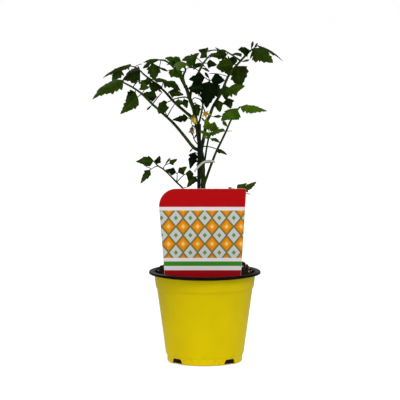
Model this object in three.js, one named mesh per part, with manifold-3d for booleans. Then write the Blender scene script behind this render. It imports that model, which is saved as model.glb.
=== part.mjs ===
// A young cherry tomato plant in a round nursery pot, with its cane, tie and printed label.
// Millimetres, +Z up. The origin is the middle of the pot's base, on the surface it stands on.
// The label faces -Y. The plant's long leaves reach out along -X and +X.

import * as THREE from 'three';
import { mergeVertices } from 'three/addons/utils/BufferGeometryUtils.js';
import Module from 'manifold-3d';

const wasm = await Module();
wasm.setup();

// ---------------------------------------------------------------- driving dimensions

const CLEARANCE = 0.3; // gap between two pieces that touch

const POT = {
  rimRadius: 70, // outer edge of the rolled rim
  rimTop: 114, // highest ring of the rim
  lipBottom: 110.8, // lower edge of the turned-down lip
  throatRadius: 62.8, // outer wall just below the rim
  stepTop: 94, // stacking step
  stepBottom: 87.5,
  footTop: 11.3, // small step where the foot starts
  footRadius: 47.1,
  wall: 1.0,
  sides: 36,
};

const NOTCH = { count: 4, firstAngle: -48, footWidth: 19.5, topWidth: 12.5, height: 7 };

const SOIL = {
  edge: 111, crown: 121.5, lump: 1.4, sides: 28, floor: 1.5,
  hollow: 4, // how far the soil before the label lies below its edge
  rise: [-31, -20], // Y where the heap behind the label starts, and where it is full
  reach: 60, // distance from the middle at which the heap ends
  brow: 12, // how squarely the heap falls to the pot's wall
};

const LABEL = {
  thickness: 1.0,
  front: -30, // Y of the card's middle plane at soil level
  top: 220,
  tilt: 2, // degrees that the card leans back
  cornerMiddle: [-35.5, 198.5], // X and Z of the middle of the big corner
  cornerRadius: 21.5,
};

const STAKE = { foot: [-8.6, -6.4, 62], top: [-6.8, -6.4, 298], radius: 2.2 };

const BLADE = 0.8; // thickness of a leaf blade
const PETAL = 0.7;
const STALK = 1.1; // thickness of a leaflet's short stalk
const FOLD = 22; // degrees that each half of a blade falls from its midrib
const DROOP = 0.12; // further fall of the blade's edges, as a share of their distance
const NOTCH_DEPTH = 0.28; // how far a notch cuts in towards the midrib
const LAST_NOTCH = 0.8; // where the end tooth of a blade starts
const SMOOTHING = 0.06; // slivers thinner than this, left by joining, are merged away

// directions that a blade's upper side can face
const UP = [0, -0.15, 1];
const FRONT = [0, -1, 0.2];
const FRONT_UP = [0, -0.75, 0.65];
const BACK_UP = [0, 0.5, 0.85];

const COLOURS = {
  potYellow: [0xd8c400, 0.45],
  soil: [0x2c1c12, 0.95],
  cane: [0x101010, 0.5],
  tie: [0xdcdcd6, 0.4],
  label: [0xc21a20, 0.35],
  stem: [0x35531f, 0.6],
  leaf: [0x2c5a1c, 0.55],
  youngLeaf: [0x4d8a26, 0.55],
  petal: [0xe6c22e, 0.6],
};

// ---------------------------------------------------------------- the stem and its fork

const TRUNK = {
  radius: [3.4, 2.1],
  path: [
    [3, 1, 66], [2, 1, 90], [1, 0, 118], [-1, 0, 170], [-2, 0, 218], [-3, 0, 252],
    [-7, 0, 277], [-10, 0, 296], [-13.5, 0, 315], [-18, 0, 328], [-19.5, 0, 333],
  ],
};
const LEFT_ARM = { radius: [2.1, 1.9], path: [[-19, 0, 330], [-21, 0, 337], [-24, 1, 346]] };

// ---------------------------------------------------------------- the leaves

// Each leaf has the node it grows from, the path of its stalk and the stalk's two radii.
// A leaflet is [place along the path, blade base, blade tip, width, teeth a side, face, arch].
// The place counts the path's points, so 2.5 is halfway from its third point to its fourth.
// A branch is a side stalk with leaflets of its own, and starts on the main path.
const LEAVES = [
  {
    name: 'leaf_left_long', from: 'main_stem', radius: [2.0, 1.1],
    path: [
      [-5, 0, 265], [-14, -2, 269], [-25, -6, 283], [-39, -12, 300.1], [-56.9, -26.5, 318],
      [-65.8, -34.5, 326.6], [-77.6, -43, 339.1], [-88.5, -48.5, 347.3], [-99.4, -54, 353.6],
    ],
    leaflets: [
      [8, [-100.4, -54, 356.6], [-137.9, -68.5, 334.3], 20, 5, [0, -0.6, 0.8], 0.13],
      [6.7, [-85.6, -45, 341.2], [-97.6, -39.5, 330.4], 14, 3, FRONT, 0.08],
      [6, [-82.5, -52, 336], [-103.7, -72, 316.5], 14.5, 4, FRONT, 0.06],
      [6, [-74.7, -39.5, 343.4], [-76.7, -32, 353.5], 13, 2, FRONT, 0.05],
      [4.8, [-66.7, -37, 323.7], [-71.7, -41.5, 319], 5, 1, FRONT_UP, 0.05],
      [3.3, [-49, -15.5, 313.9], [-56.5, -12.5, 326.4], 15, 3, FRONT, 0.06],
      [1, [-15.5, -3, 267.5], [-19, -3, 263.5], 3.5, 1, FRONT, 0],
    ],
    branches: [
      {
        radius: [0.7, 0.5],
        path: [[-88.5, -48.5, 347.3], [-84.6, -43, 353.1], [-78.7, -36, 354.7], [-71.8, -27, 355.2]],
        leaflets: [
          [3, [-70.8, -25.5, 355.1], [-61.9, -16.5, 354], 6, 1, UP, 0.1],
          [1, [-85.6, -44, 353.6], [-91.5, -45, 356.7], 4, 1, UP, 0.1],
        ],
      },
      {
        radius: [0.7, 0.5],
        path: [[-64.8, -34.5, 325.6], [-57.9, -24.5, 333.8], [-53, -15.5, 338.8]],
        leaflets: [
          [1, [-59.9, -27, 334], [-76.7, -36, 338.7], 13, 3, FRONT, 0.05],
          [2, [-53.5, -15, 339.3], [-58, -12.5, 342.3], 5, 1, FRONT, 0.05],
        ],
      },
      {
        radius: [0.7, 0.5],
        path: [[-47, -17.5, 308.4], [-42, -11, 317.1], [-38, -7, 323]],
        leaflets: [[2, [-37.5, -6.5, 323.5], [-28, -5, 328], 8, 2, FRONT, 0.08]],
      },
    ],
  },
  {
    name: 'leaf_left_upper', from: 'main_stem', radius: [1.9, 1.0],
    path: [
      [-12, 0, 303], [-18, 3, 308], [-25, 6, 313.5], [-39, 12, 325.5], [-51, 20.5, 338.1],
      [-67.2, 35.5, 350.5], [-76.4, 45, 356.8], [-80.4, 48.5, 360.7],
    ],
    leaflets: [
      [7, [-81.4, 49.5, 361.6], [-103.7, 61, 349.1], 24, 4, FRONT_UP, 0.1],
      [4.6, [-61.1, 22, 348.8], [-65.1, 20.5, 335.2], 17, 3, FRONT, 0.08],
      [5, [-66.2, 29.5, 350.4], [-83.3, 29, 346.6], 8, 2, FRONT, 0.06],
      [5.2, [-64.1, 27, 352], [-45, 16.5, 349.9], 8, 2, FRONT_UP, 0.08],
      [4.2, [-52, 17, 349.8], [-30, 9, 338.5], 16, 3, [0.35, -0.65, 0.65], 0.22],
      [3.6, [-45, 11.5, 337.9], [-26, 7, 334], 11, 2, FRONT, 0.16],
    ],
    branches: [
      {
        radius: [0.8, 0.6],
        path: [[-80.4, 48.5, 360.7], [-87.4, 43, 366.4], [-96.4, 38, 367.7], [-104.4, 32.5, 364.9]],
        leaflets: [
          [1.6, [-93.4, 38, 370.2], [-127.3, 21.5, 354.5], 13, 4, UP, 0.08],
          [3, [-105.4, 33.5, 364.4], [-116.5, 38, 349.2], 14, 3, FRONT, 0.08],
          [1, [-86.4, 45, 367.8], [-78.4, 47, 370.2], 5, 1, UP, 0.1],
          [2, [-97.5, 47, 366.7], [-112.9, 72, 358.5], 13, 3, BACK_UP, 0.1],
        ],
      },
    ],
  },
  {
    name: 'leaf_fork_left', from: 'main_stem', radius: [0.9, 0.6],
    path: [[-19, 0, 329], [-23, 1, 331.5], [-28, 2, 331.5], [-37, 4, 329.5], [-46, 6.5, 325.4]],
    leaflets: [
      [4, [-47, 6.5, 324.9], [-58.1, 11.5, 321.1], 8, 2, FRONT, 0.08],
      [2.6, [-33, 2.5, 329], [-32, 0, 319.5], 9, 2, FRONT, 0.05],
      [1.6, [-26, 1, 329], [-22, -3, 318], 9, 2, FRONT, 0.05],
    ],
  },
  {
    name: 'leaf_top_left', from: 'main_stem', radius: [1.6, 0.9],
    path: [[-24, 1, 344], [-33, 8, 360], [-41, 16, 370], [-50.1, 31, 375.3], [-58.3, 52.5, 374.9]],
    leaflets: [
      [4, [-59.3, 54.5, 374.7], [-77.6, 68.5, 370.2], 14, 3, [0, -0.35, 0.9], 0.12],
      [4, [-65.4, 54.5, 370.6], [-63.2, 41, 349.4], 18, 3, FRONT, 0.06],
      [4, [-66.4, 61.5, 372.6], [-78.7, 79, 362.2], 12, 2, FRONT_UP, 0.1],
      [3.6, [-57.2, 41, 365.6], [-46.1, 29.5, 362], 7, 1, FRONT, 0.1],
      [3, [-49.1, 29, 378], [-41, 22, 380.9], 7, 1, UP, 0.1],
      [1.7, [-39, 11.5, 366], [-42, 7, 355.5], 10, 3, FRONT, 0.05],
      [2, [-42, 22, 370.9], [-38.1, 52.5, 370.4], 12, 3, BACK_UP, 0.12],
    ],
  },
  {
    name: 'leaf_top_front', from: 'leaf_top_left', radius: [1.5, 0.9], young: true,
    path: [
      [-24, 0.5, 344], [-27, -4, 356], [-26, -9, 361.5], [-24, -15, 366], [-25, -23, 371],
      [-27, -36.5, 374.5],
    ],
    leaflets: [
      [5, [-27, -38.5, 374.6], [-32.6, -102, 370.9], 19, 4, [0, -0.4, 0.9], 0.12],
      [3.5, [-28, -18, 371.5], [-48.9, -30.5, 383.1], 16, 4, FRONT_UP, 0.12],
      [4, [-23, -23, 373.5], [-7, -34, 389], 16, 3, FRONT_UP, 0.08],
      [3, [-21, -15, 369.5], [-11, -18, 370], 6, 1, FRONT_UP, 0.1],
      [2.6, [-28, -13, 365], [-40, -18, 359], 14, 3, FRONT, 0.08],
      [4.6, [-29, -31.5, 376.3], [-37.9, -37, 384.7], 14, 2, FRONT_UP, 0.06],
    ],
  },
  {
    name: 'leaf_top_back', from: 'main_stem', radius: [1.7, 0.9],
    path: [
      [-19, 0, 330.5], [-16, 4, 343], [-11, 8, 355.5], [-7, 12, 363.5], [-2, 18, 372.4],
      [3, 28.5, 378.4], [9, 45.5, 383.3],
    ],
    leaflets: [
      [6, [10, 48, 382.7], [24.2, 77.5, 374.8], 15, 3, BACK_UP, 0.12],
      [4, [-10, 16, 380], [-29, 10, 377], 14, 3, FRONT_UP, 0.14],
      [3, [-14, 9.5, 368], [-22, 7, 371.5], 5, 1, FRONT_UP, 0.05],
      [2.8, [-4, 9, 367.5], [6, 5.5, 362.9], 7, 1, FRONT_UP, 0.2],
      [4.1, [3, 20.5, 372.7], [15.5, 28.5, 370], 10.5, 2, FRONT, 0.04],
      [4.4, [-4, 32, 371.5], [-14.1, 64.5, 361.7], 14, 3, BACK_UP, 0.12],
    ],
  },
  {
    name: 'leaf_centre', from: 'main_stem', radius: [1.3, 0.8],
    path: [
      [-10, 0, 295], [-7, -3, 301], [-4, -7, 314], [-2, -9, 328], [-1, -10, 338],
      [2, -11.5, 347.1], [6, -13.5, 353.2],
    ],
    leaflets: [
      [6, [6, -15, 352.2], [2, -18, 319], 22, 4, FRONT, 0.05],
      [6, [0, -13.5, 357.1], [-20, -17, 355], 15, 3, FRONT, 0.12],
      [4.6, [-3, -14, 344], [-21, -16, 344], 17, 3, FRONT, 0.08],
      [6, [8, -13, 354.2], [25, -15, 353.7], 16, 3, FRONT, 0.08],
      [5.4, [11, -11, 347.2], [18, -7.5, 331.2], 15, 3, FRONT, 0.05],
      [6, [5, -14.5, 356.7], [0, -17, 364.1], 7, 1, FRONT, 0.05],
    ],
  },
  {
    name: 'shoot_right', from: 'main_stem', radius: [2.1, 1.3],
    path: [
      [-5, 2, 265], [-2, 5, 277], [2, 6, 299], [6, 6, 308], [11, 6, 321], [20, 10, 335.7],
      [29, 10.5, 356.5], [37, 9, 367.6], [45, 5.5, 377.2], [52, 3.5, 384.8],
    ],
    leaflets: [
      [7.2, [40.1, 16, 369.2], [45.1, 23.5, 341.9], 23, 4, FRONT, 0.04],
      [7.4, [35.1, 16, 372.2], [14, 18, 367.5], 24, 4, FRONT, 0.08],
      [8, [47, 7, 375.7], [56.1, 12.5, 377.9], 6, 1, FRONT_UP, 0.05],
      [6, [19, 1.5, 360.4], [5, -3, 361.5], 6, 1, UP, 0.06],
      [5.4, [27, 3.5, 339.8], [50, -7, 346.3], 18, 3, FRONT_UP, 0.06],
      [5.6, [26.5, 18.5, 344.2], [26, 20, 326.7], 14, 2, FRONT, 0.05],
      [4.5, [17, 2, 327.4], [19, -2.5, 313.1], 12, 2, FRONT, 0.04],
      [5, [28.5, 13, 329.5], [32.5, 8, 316.7], 14, 2, FRONT, 0.04],
      [3, [11, 4, 307], [21, 3.5, 307.4], 7, 1, FRONT, 0.1],
      [2, [0, 2.5, 301], [-4, 2, 306], 5, 1, FRONT, 0.05],
    ],
  },
  {
    name: 'leaf_arching', from: 'shoot_right', radius: [1.1, 0.7],
    path: [
      [44.5, 5.5, 376.7], [40.1, 14.5, 379.3], [33.1, 30.5, 383], [26.1, 42.5, 386], [15.1, 53.5, 387.2],
      [5, 63.5, 385.8],
    ],
    leaflets: [
      [5, [4, 65.5, 385.7], [-8.1, 75, 385.9], 12, 2, FRONT_UP, 0.1],
      [4.6, [2, 54, 384], [-6, 47, 377.2], 9, 2, FRONT, 0.05],
      [3.6, [19.1, 47.5, 387.9], [13, 38, 391.1], 6, 1, FRONT_UP, 0.05],
      [2.6, [28.1, 38, 382.7], [5, 24.5, 381.5], 11, 3, FRONT, 0.08],
      [3, [25.1, 52, 386], [18.2, 88, 378.8], 13, 3, BACK_UP, 0.12],
      [2, [36.2, 39.5, 383.1], [46.3, 65, 377.9], 12, 3, BACK_UP, 0.12],
      [1.6, [37.6, 36, 380.3], [33.2, 43, 365.9], 10, 2, FRONT, 0.06],
    ],
  },
  {
    name: 'leaf_top_right', from: 'shoot_right', radius: [1.3, 0.9],
    path: [[51, 3.5, 383.8], [56, 0, 389], [60, -3.5, 392.2]],
    leaflets: [
      [2, [60, -4.5, 392.7], [84.3, -25, 376.2], 22, 5, FRONT_UP, 0.08],
      [1, [55, -3.5, 390.7], [40.9, -11, 391.5], 15, 3, FRONT_UP, 0.08],
      [1.6, [58, 3.5, 392.8], [60.1, 9, 401.1], 6, 1, FRONT, 0.05],
      [2, [62, 3.5, 393.8], [66, 7, 399.2], 5, 1, FRONT, 0.05],
      [2, [66.1, 14.5, 395.3], [97.3, 29, 375.1], 13, 4, UP, 0.08],
    ],
  },
  {
    name: 'leaf_right_low', from: 'main_stem', radius: [1.7, 1.0], young: true,
    path: [
      [-3, 0, 216], [2, -3, 231], [9, -8, 251], [14, -11, 264], [21, -17, 279.2],
      [26.9, -28.5, 292.9], [31.9, -39.5, 305.7], [37.8, -48.5, 316.3], [42.8, -52, 323.5],
    ],
    leaflets: [
      [8, [43.7, -52, 324], [76.4, -65, 319.6], 12.5, 5, FRONT_UP, 0.05],
      [7.6, [39.8, -54, 321.6], [19.8, -74.5, 308.4], 21, 4, [-0.2, -0.7, 0.65], 0.08],
      [5.4, [27.4, -32.5, 298.1], [21.9, -33.5, 305], 8, 1, FRONT, 0.05],
      [5, [28.4, -30, 292], [33.9, -34, 292.9], 3.5, 1, UP, 0],
    ],
  },
  {
    name: 'leaf_inner', from: 'main_stem', radius: [1.4, 0.9], young: true,
    path: [[-3, 0, 238], [0, -4, 254], [2, -8, 267], [3.5, -12, 276], [5, -18, 283], [7, -27, 289.2]],
    leaflets: [
      [5, [8, -29, 289.8], [24.8, -64.5, 294.9], 17, 4, FRONT_UP, 0.08],
      [5, [5, -28, 289.2], [-6, -45, 292], 16, 3, FRONT_UP, 0.08],
      [5, [8, -27.5, 291.3], [12, -33.5, 303.7], 14, 3, FRONT, 0.05],
      [4.7, [4.5, -24, 293.1], [1, -28, 307.2], 10, 2, FRONT, 0.06],
      [4, [7.5, -17, 281.5], [19, -26, 276.9], 7, 2, FRONT_UP, 0.18],
      [3.6, [3, -17, 281.5], [-2.5, -18, 285.5], 5, 1, FRONT, 0.05],
    ],
  },
  {
    name: 'leaf_narrow_right', from: 'main_stem', radius: [0.8, 0.6],
    path: [[-5, -1, 270], [1, -3, 270.5], [8, -3.5, 269.5], [14, -4, 267.5]],
    leaflets: [[3, [15, -4, 267], [28, -7, 260.1], 7, 2, FRONT_UP, 0.08]],
  },
  {
    name: 'leaf_narrow_left', from: 'main_stem', radius: [0.8, 0.6],
    path: [[-11, 0, 297], [-16, -2, 303], [-20, -2, 306]],
    leaflets: [[2, [-21, -2, 306], [-41, 2, 303], 9, 3, FRONT, 0.05]],
  },
  {
    name: 'leaf_left_base', from: 'main_stem', radius: [1.4, 0.9],
    path: [
      [-1, 0, 168], [-9, -2.4, 184], [-18, -7, 204], [-27, -10.5, 218.1], [-35, -16, 226.8],
      [-44.9, -24.5, 237.9], [-51.8, -31, 244.9], [-57.8, -36, 249.2], [-62.7, -39.5, 254.9],
    ],
    leaflets: [
      [8, [-63.7, -40.5, 256], [-85.5, -50.5, 255.9], 12, 3, FRONT, 0.1],
      [7.3, [-59.3, -36, 252.2], [-55.8, -30, 261.4], 9, 2, FRONT, 0.05],
      [3, [-26, -9, 219.5], [-19, -8, 221], 4, 1, UP, 0],
    ],
    branches: [
      {
        radius: [0.6, 0.5],
        path: [[-57.8, -36, 249.2], [-62.7, -38, 247.8], [-66.7, -39.5, 245.4]],
        leaflets: [
          [2, [-67.7, -40.5, 245], [-79.5, -50.5, 228.4], 9, 3, FRONT, 0.14],
          [2, [-67.7, -38, 246.8], [-73.2, -36, 248.7], 4, 1, UP, 0.05],
        ],
      },
      {
        radius: [0.6, 0.5],
        path: [[-51.8, -31, 244.9], [-49.4, -28, 249.2], [-44.9, -26, 251]],
        leaflets: [
          [2, [-43.9, -25.5, 251.4], [-34, -23.5, 256.5], 8, 2, FRONT, 0.05],
          [1, [-48.4, -25, 251], [-42.9, -18.5, 257.6], 5, 1, FRONT, 0.05],
        ],
      },
      {
        radius: [0.7, 0.5],
        path: [[-35, -16, 226.8], [-34.5, -14.5, 232.3], [-34.5, -13, 237.2]],
        leaflets: [
          [2, [-36, -13.5, 238.8], [-48.9, -12.5, 242], 9, 2, FRONT, 0.1],
          [2, [-33, -12.5, 238.7], [-22, -13, 246], 10, 2, FRONT, 0.08],
        ],
      },
      {
        radius: [0.6, 0.5],
        path: [[-35, -16, 226.8], [-28, -15, 234.1], [-19, -14, 240]],
        leaflets: [[2, [-18.5, -14, 242], [-20, -16, 227], 9, 2, FRONT, 0.05]],
      },
    ],
  },
  {
    name: 'leaf_stem_top', from: 'main_stem', radius: [0.9, 0.7],
    path: [[-15.5, 0, 321], [-13, -3.5, 324.5], [-11.5, -5, 325]],
    leaflets: [[2, [-11, -5.5, 324], [-8, -6, 308], 10, 3, FRONT, 0.05]],
  },
  {
    name: 'leaf_stem_upper', from: 'main_stem', radius: [0.7, 0.6],
    path: [[-4, 0, 256], [-8, 3.5, 260], [-12, 5.5, 262]],
    leaflets: [[2, [-13, 6, 262], [-18.5, 5, 241], 12, 3, FRONT, 0.06]],
  },
  {
    name: 'leaf_stem_lower', from: 'main_stem', radius: [0.7, 0.6],
    path: [[-3, 0, 229], [-7, 3, 232], [-10, 4, 232]],
    leaflets: [[2, [-11, 4, 232], [-22.5, 1, 219], 10, 3, FRONT, 0.08]],
  },
  {
    name: 'sprout', from: 'main_stem', radius: [0.8, 0.6],
    path: [[-6, 1, 270], [-11, 4, 275], [-13.5, 5, 279], [-14.5, 5, 283]],
    leaflets: [
      [3, [-14.5, 4.5, 283], [-16.5, 4, 288], 4, 1, FRONT, 0],
      [2, [-13, 4.5, 280], [-10.5, 6, 285], 4, 1, FRONT, 0],
    ],
  },
  {
    name: 'leaf_right_base', from: 'main_stem', radius: [1.4, 0.8],
    path: [[1, 0, 135], [12, 7, 160], [26, 14.5, 186.8], [38.1, 25, 204.1], [46.2, 32.5, 209.5]],
    leaflets: [
      [4, [47.7, 33, 210.5], [65.3, 39.5, 222.1], 10, 3, FRONT_UP, 0.06],
      [3.2, [41.1, 30, 211.8], [53.2, 41.5, 220], 10, 2, FRONT, 0.06],
      [4, [49.2, 31.5, 208], [58.7, 30.5, 207], 5, 1, UP, 0.05],
      [3, [35.1, 22, 209.3], [30, 15.5, 217.7], 8, 2, FRONT, 0.06],
    ],
  },
];

// ---------------------------------------------------------------- the flowers

// Each flower hangs on its own stalk. The petals open round the axis at the given angle.
const FLOWERS = [
  {
    name: 'flower_open',
    stalk: [[-17, 0, 327], [-13, -8, 331.5], [-5, -11, 329], [-2, -13, 321], [-0.5, -15, 316]],
    middle: [0.5, -16.5, 313], axis: [0.35, -0.8, -0.45], petal: 7, spread: 68,
  },
  {
    name: 'flower_hanging', stalk: [[-13, 0, 313], [-15, -6, 316.5], [-15, -9, 315]],
    middle: [-14.2, -9.5, 310.5], axis: [0.05, -0.15, -1], petal: 12, spread: 27,
  },
  {
    name: 'flower_faded', stalk: [[-9.5, 0, 290], [-12.5, -4, 294.5], [-15, -7, 297.2]],
    middle: [-15.8, -8.2, 294.3], axis: [-0.1, -0.1, -1], petal: 8, spread: 30,
  },
];

// ---------------------------------------------------------------- small helpers

const vec = ([x, y, z]) => new THREE.Vector3(x, y, z);
const degrees = THREE.MathUtils.degToRad;

// A repeatable draw from 0 to 1 for a whole number.
function draw(n) {
  const s = Math.sin(n * 12.9898) * 43758.5453;
  return s - Math.floor(s);
}

function solidOf(geometry) {
  const bare = geometry.clone();
  bare.deleteAttribute('normal');
  bare.deleteAttribute('uv');
  const merged = mergeVertices(bare, 1e-4);
  return new wasm.Manifold(new wasm.Mesh({
    numProp: 3,
    vertProperties: new Float32Array(merged.attributes.position.array),
    triVerts: new Uint32Array(merged.index.array),
  }));
}

function geometryOf(solid) {
  const mesh = solid.getMesh();
  const geometry = new THREE.BufferGeometry();
  geometry.setAttribute('position', new THREE.BufferAttribute(mesh.vertProperties, 3));
  geometry.setIndex(new THREE.BufferAttribute(mesh.triVerts, 1));
  geometry.computeVertexNormals();
  return geometry;
}

// The largest body of a solid, without the scraps that a cut can leave.
function mainBody(solid) {
  const bodies = solid.simplify(SMOOTHING).decompose();
  return bodies.reduce((a, b) => (b.volume() > a.volume() ? b : a));
}

const joined = (solids) => wasm.Manifold.union(solids);

function meshOf(name, geometry, [colour, roughness]) {
  const material = new THREE.MeshStandardMaterial({ color: colour, roughness, metalness: 0 });
  const mesh = new THREE.Mesh(geometry, material);
  mesh.name = name;
  return mesh;
}

const curveOf = (path) => new THREE.CatmullRomCurve3(path.map(vec), false, 'catmullrom', 0.5);

// A round stem: a cone of unit height, bent along the path and thinning from root to tip.
// The extra makes it thicker and longer by that much all round.
function stem(path, [rootRadius, tipRadius], sides, steps, extra = 0) {
  const curve = curveOf(path);
  const cone = new THREE.CylinderGeometry(tipRadius + extra, rootRadius + extra, 1, sides, steps);
  const frames = curve.computeFrenetFrames(steps, false);
  const place = cone.attributes.position;
  for (let i = 0; i < place.count; i += 1) {
    const step = Math.round((place.getY(i) + 0.5) * steps);
    const longer = { 0: -extra, [steps]: extra }[step] ?? 0;
    const point = curve.getPointAt(step / steps)
      .addScaledVector(frames.tangents[step], longer)
      .addScaledVector(frames.binormals[step], place.getX(i))
      .addScaledVector(frames.normals[step], place.getZ(i));
    place.setXYZ(i, point.x, point.y, point.z);
  }
  return solidOf(cone);
}

// A flat band along a path, with its width kept upright.
function band(path, width, thickness, steps) {
  const curve = curveOf(path);
  const strip = new THREE.BoxGeometry(thickness, 1, width, 1, steps, 1);
  const place = strip.attributes.position;
  for (let i = 0; i < place.count; i += 1) {
    const along = THREE.MathUtils.clamp(place.getY(i) + 0.5, 0, 1);
    const ahead = curve.getTangentAt(along);
    const side = new THREE.Vector3().crossVectors(ahead, vec([0, 0, 1])).normalize();
    const up = new THREE.Vector3().crossVectors(side, ahead);
    const point = curve.getPointAt(along)
      .addScaledVector(side, place.getX(i))
      .addScaledVector(up, place.getZ(i));
    place.setXYZ(i, point.x, point.y, point.z);
  }
  return solidOf(strip);
}

// ---------------------------------------------------------------- one toothed blade

// Half the blade's width at t, from 0 at its base to 1 at its tip: an egg-shaped outline.
const eggShape = (t) => Math.sin(Math.PI * (0.08 + 0.92 * t) ** 0.62);

// The outline of one half as [t, half width], from the base to the last notch. Between two
// notches stands one tooth, which points forward.
function halfOutline(width, teeth, seed) {
  const points = [[0, 0]];
  for (let k = 0; k < teeth; k += 1) {
    const start = LAST_NOTCH * (k / teeth) ** 0.9;
    const end = LAST_NOTCH * ((k + 1) / teeth) ** 0.9;
    const tip = start + (end - start) * 1.02;
    const full = 0.5 * width * (0.9 + 0.3 * draw(seed + k));
    points.push([tip, full * eggShape(tip * 0.9)]);
    points.push([end, full * eggShape(end) * (1 - NOTCH_DEPTH)]);
  }
  return points;
}

// A leaflet: a short stalk from its root to the blade's base, and the toothed blade, as one
// thin closed body. The midrib is an arc from base to tip that rises towards the face, and
// the halves fall away from it. Both faces are split into the same triangles.
function leaflet(root, base, tip, width, teeth, face, arch, seed) {
  const start = vec(base);
  const end = vec(tip);
  const ahead = end.clone().sub(start);
  const length = ahead.length();
  ahead.normalize();
  const upper = vec(face);
  upper.addScaledVector(ahead, -upper.dot(ahead)).normalize();
  const crown = start.clone().lerp(end, 0.5).addScaledVector(upper, 2 * arch * length);
  const midrib = new THREE.QuadraticBezierCurve3(start, crown, end);
  const side = new THREE.Vector3().crossVectors(ahead, upper);
  const fall = Math.tan(degrees(FOLD));

  const points = [];
  const put = (point, normal, thickness = BLADE) => points.push([point, normal, thickness]) - 1;
  const onBlade = (t, across, ripple = 0) => {
    const normal = new THREE.Vector3().crossVectors(side, midrib.getTangent(t));
    const drop = Math.abs(across) * fall + (DROOP * across * across) / width + ripple;
    const point = midrib.getPoint(t).addScaledVector(side, across).addScaledVector(normal, -drop);
    return put(point, normal);
  };

  const halves = [halfOutline(width, teeth, seed), halfOutline(width, teeth, seed + 50)];
  const apex = onBlade(1, 0);
  const ribs = halves[0].filter((_, i) => i % 2 === 0).map(([t]) => onBlade(t, 0));
  const rims = halves.map((half, h) => half.map(([t, w], i) => {
    const ripple = i % 2 === 1 ? 0.12 * w * (draw(seed + 7 * i + 100 * h) - 0.5) : 0;
    return onBlade(t, (h === 0 ? 1 : -1) * w, ripple);
  }));

  // the short stalk turns into the blade at a mitre halfway between their two directions
  const bladeStart = midrib.getTangent(0);
  const stalk = start.clone().sub(vec(root)).normalize();
  const bisector = stalk.clone().add(bladeStart).normalize();
  const opening = Math.max(0.5, bisector.dot(stalk));
  const frameAlong = (direction) => {
    const turn = new THREE.Quaternion().setFromUnitVectors(bladeStart, direction);
    const normal = new THREE.Vector3().crossVectors(side, bladeStart).applyQuaternion(turn);
    return [side.clone().applyQuaternion(turn), normal];
  };
  const halfStalk = 0.5 + 0.012 * width;
  const [mitreSide, mitreNormal] = frameAlong(bisector);
  const [rootSide, rootNormal] = frameAlong(stalk);
  points[ribs[0]] = [start, mitreNormal, STALK / opening];
  const rootPair = [1, -1].map((sign, h) => {
    const corner = start.clone().addScaledVector(mitreSide, (sign * halfStalk) / opening);
    points[rims[h][0]] = [corner, mitreNormal, STALK / opening];
    return put(vec(root).addScaledVector(rootSide, sign * halfStalk), rootNormal, STALK);
  });

  const faces = [[rootPair[1], rootPair[0], ribs[0]]];
  rims.forEach((rim, h) => {
    const add = (a, b, c) => faces.push(h === 0 ? [a, b, c] : [a, c, b]);
    add(rootPair[h], rim[0], ribs[0]);
    for (let k = 0; k < teeth; k += 1) {
      const [notch, tooth, next] = [rim[2 * k], rim[2 * k + 1], rim[2 * k + 2]];
      add(ribs[k], notch, next);
      add(ribs[k], next, ribs[k + 1]);
      add(notch, tooth, next);
    }
    add(ribs[teeth], rim[2 * teeth], apex);
  });
  return solidOf(thickened(points, faces));
}

// A sheet given its thickness: its faces on both sides, and a wall along each free edge.
function thickened(points, faces) {
  const count = points.length;
  const place = [0.5, -0.5].flatMap((share) => points.flatMap(([point, normal, thickness]) => (
    point.clone().addScaledVector(normal, share * thickness).toArray())));
  const index = faces.flatMap(([a, b, c]) => [a, b, c, a + count, c + count, b + count]);
  const edges = new Set(faces.flatMap(([a, b, c]) => [`${a},${b}`, `${b},${c}`, `${c},${a}`]));
  edges.forEach((edge) => {
    const [from, to] = edge.split(',').map(Number);
    if (edges.has(`${to},${from}`)) return;
    index.push(from, from + count, to + count, from, to + count, to);
  });
  const geometry = new THREE.BufferGeometry();
  geometry.setAttribute('position', new THREE.Float32BufferAttribute(place, 3));
  geometry.setIndex(index);
  return geometry;
}

// ---------------------------------------------------------------- one compound leaf

// All the stalks of a leaf: its main one, its branches, and a short one to each leaflet.
function stalks(leaf, extra = 0) {
  const steps = Math.max(3, leaf.path.length - 1);
  const parts = [stem(leaf.path, leaf.radius, 5, steps, extra)];
  (leaf.branches ?? []).forEach((branch) => parts.push(...stalks(branch, extra)));
  return parts;
}

// The leaflets of a leaf and of its branches, each rooted in the middle of its stalk.
function leafletsOf(leaf, seed) {
  const curve = curveOf(leaf.path);
  const own = leaf.leaflets.map(([place, base, ...rest], i) => {
    const root = curve.getPoint(place / (leaf.path.length - 1));
    return leaflet(root.toArray(), base, ...rest, seed + 10 * i);
  });
  const more = (leaf.branches ?? []).flatMap((branch, i) => leafletsOf(branch, seed + 200 * (i + 1)));
  return [...own, ...more];
}

// ---------------------------------------------------------------- one flower

// Directions spread round an axis: the middle one tilted out by the angle, and turned.
function spokes(axis, count, angle, turn = 0) {
  const along = vec(axis).normalize();
  const across = new THREE.Vector3().crossVectors(along, vec([0.3, 0.2, 1])).normalize();
  const out = along.clone().applyAxisAngle(across, degrees(angle));
  return Array.from({ length: count }, (_, i) => (
    out.clone().applyAxisAngle(along, degrees(turn + (i * 360) / count))));
}

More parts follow.
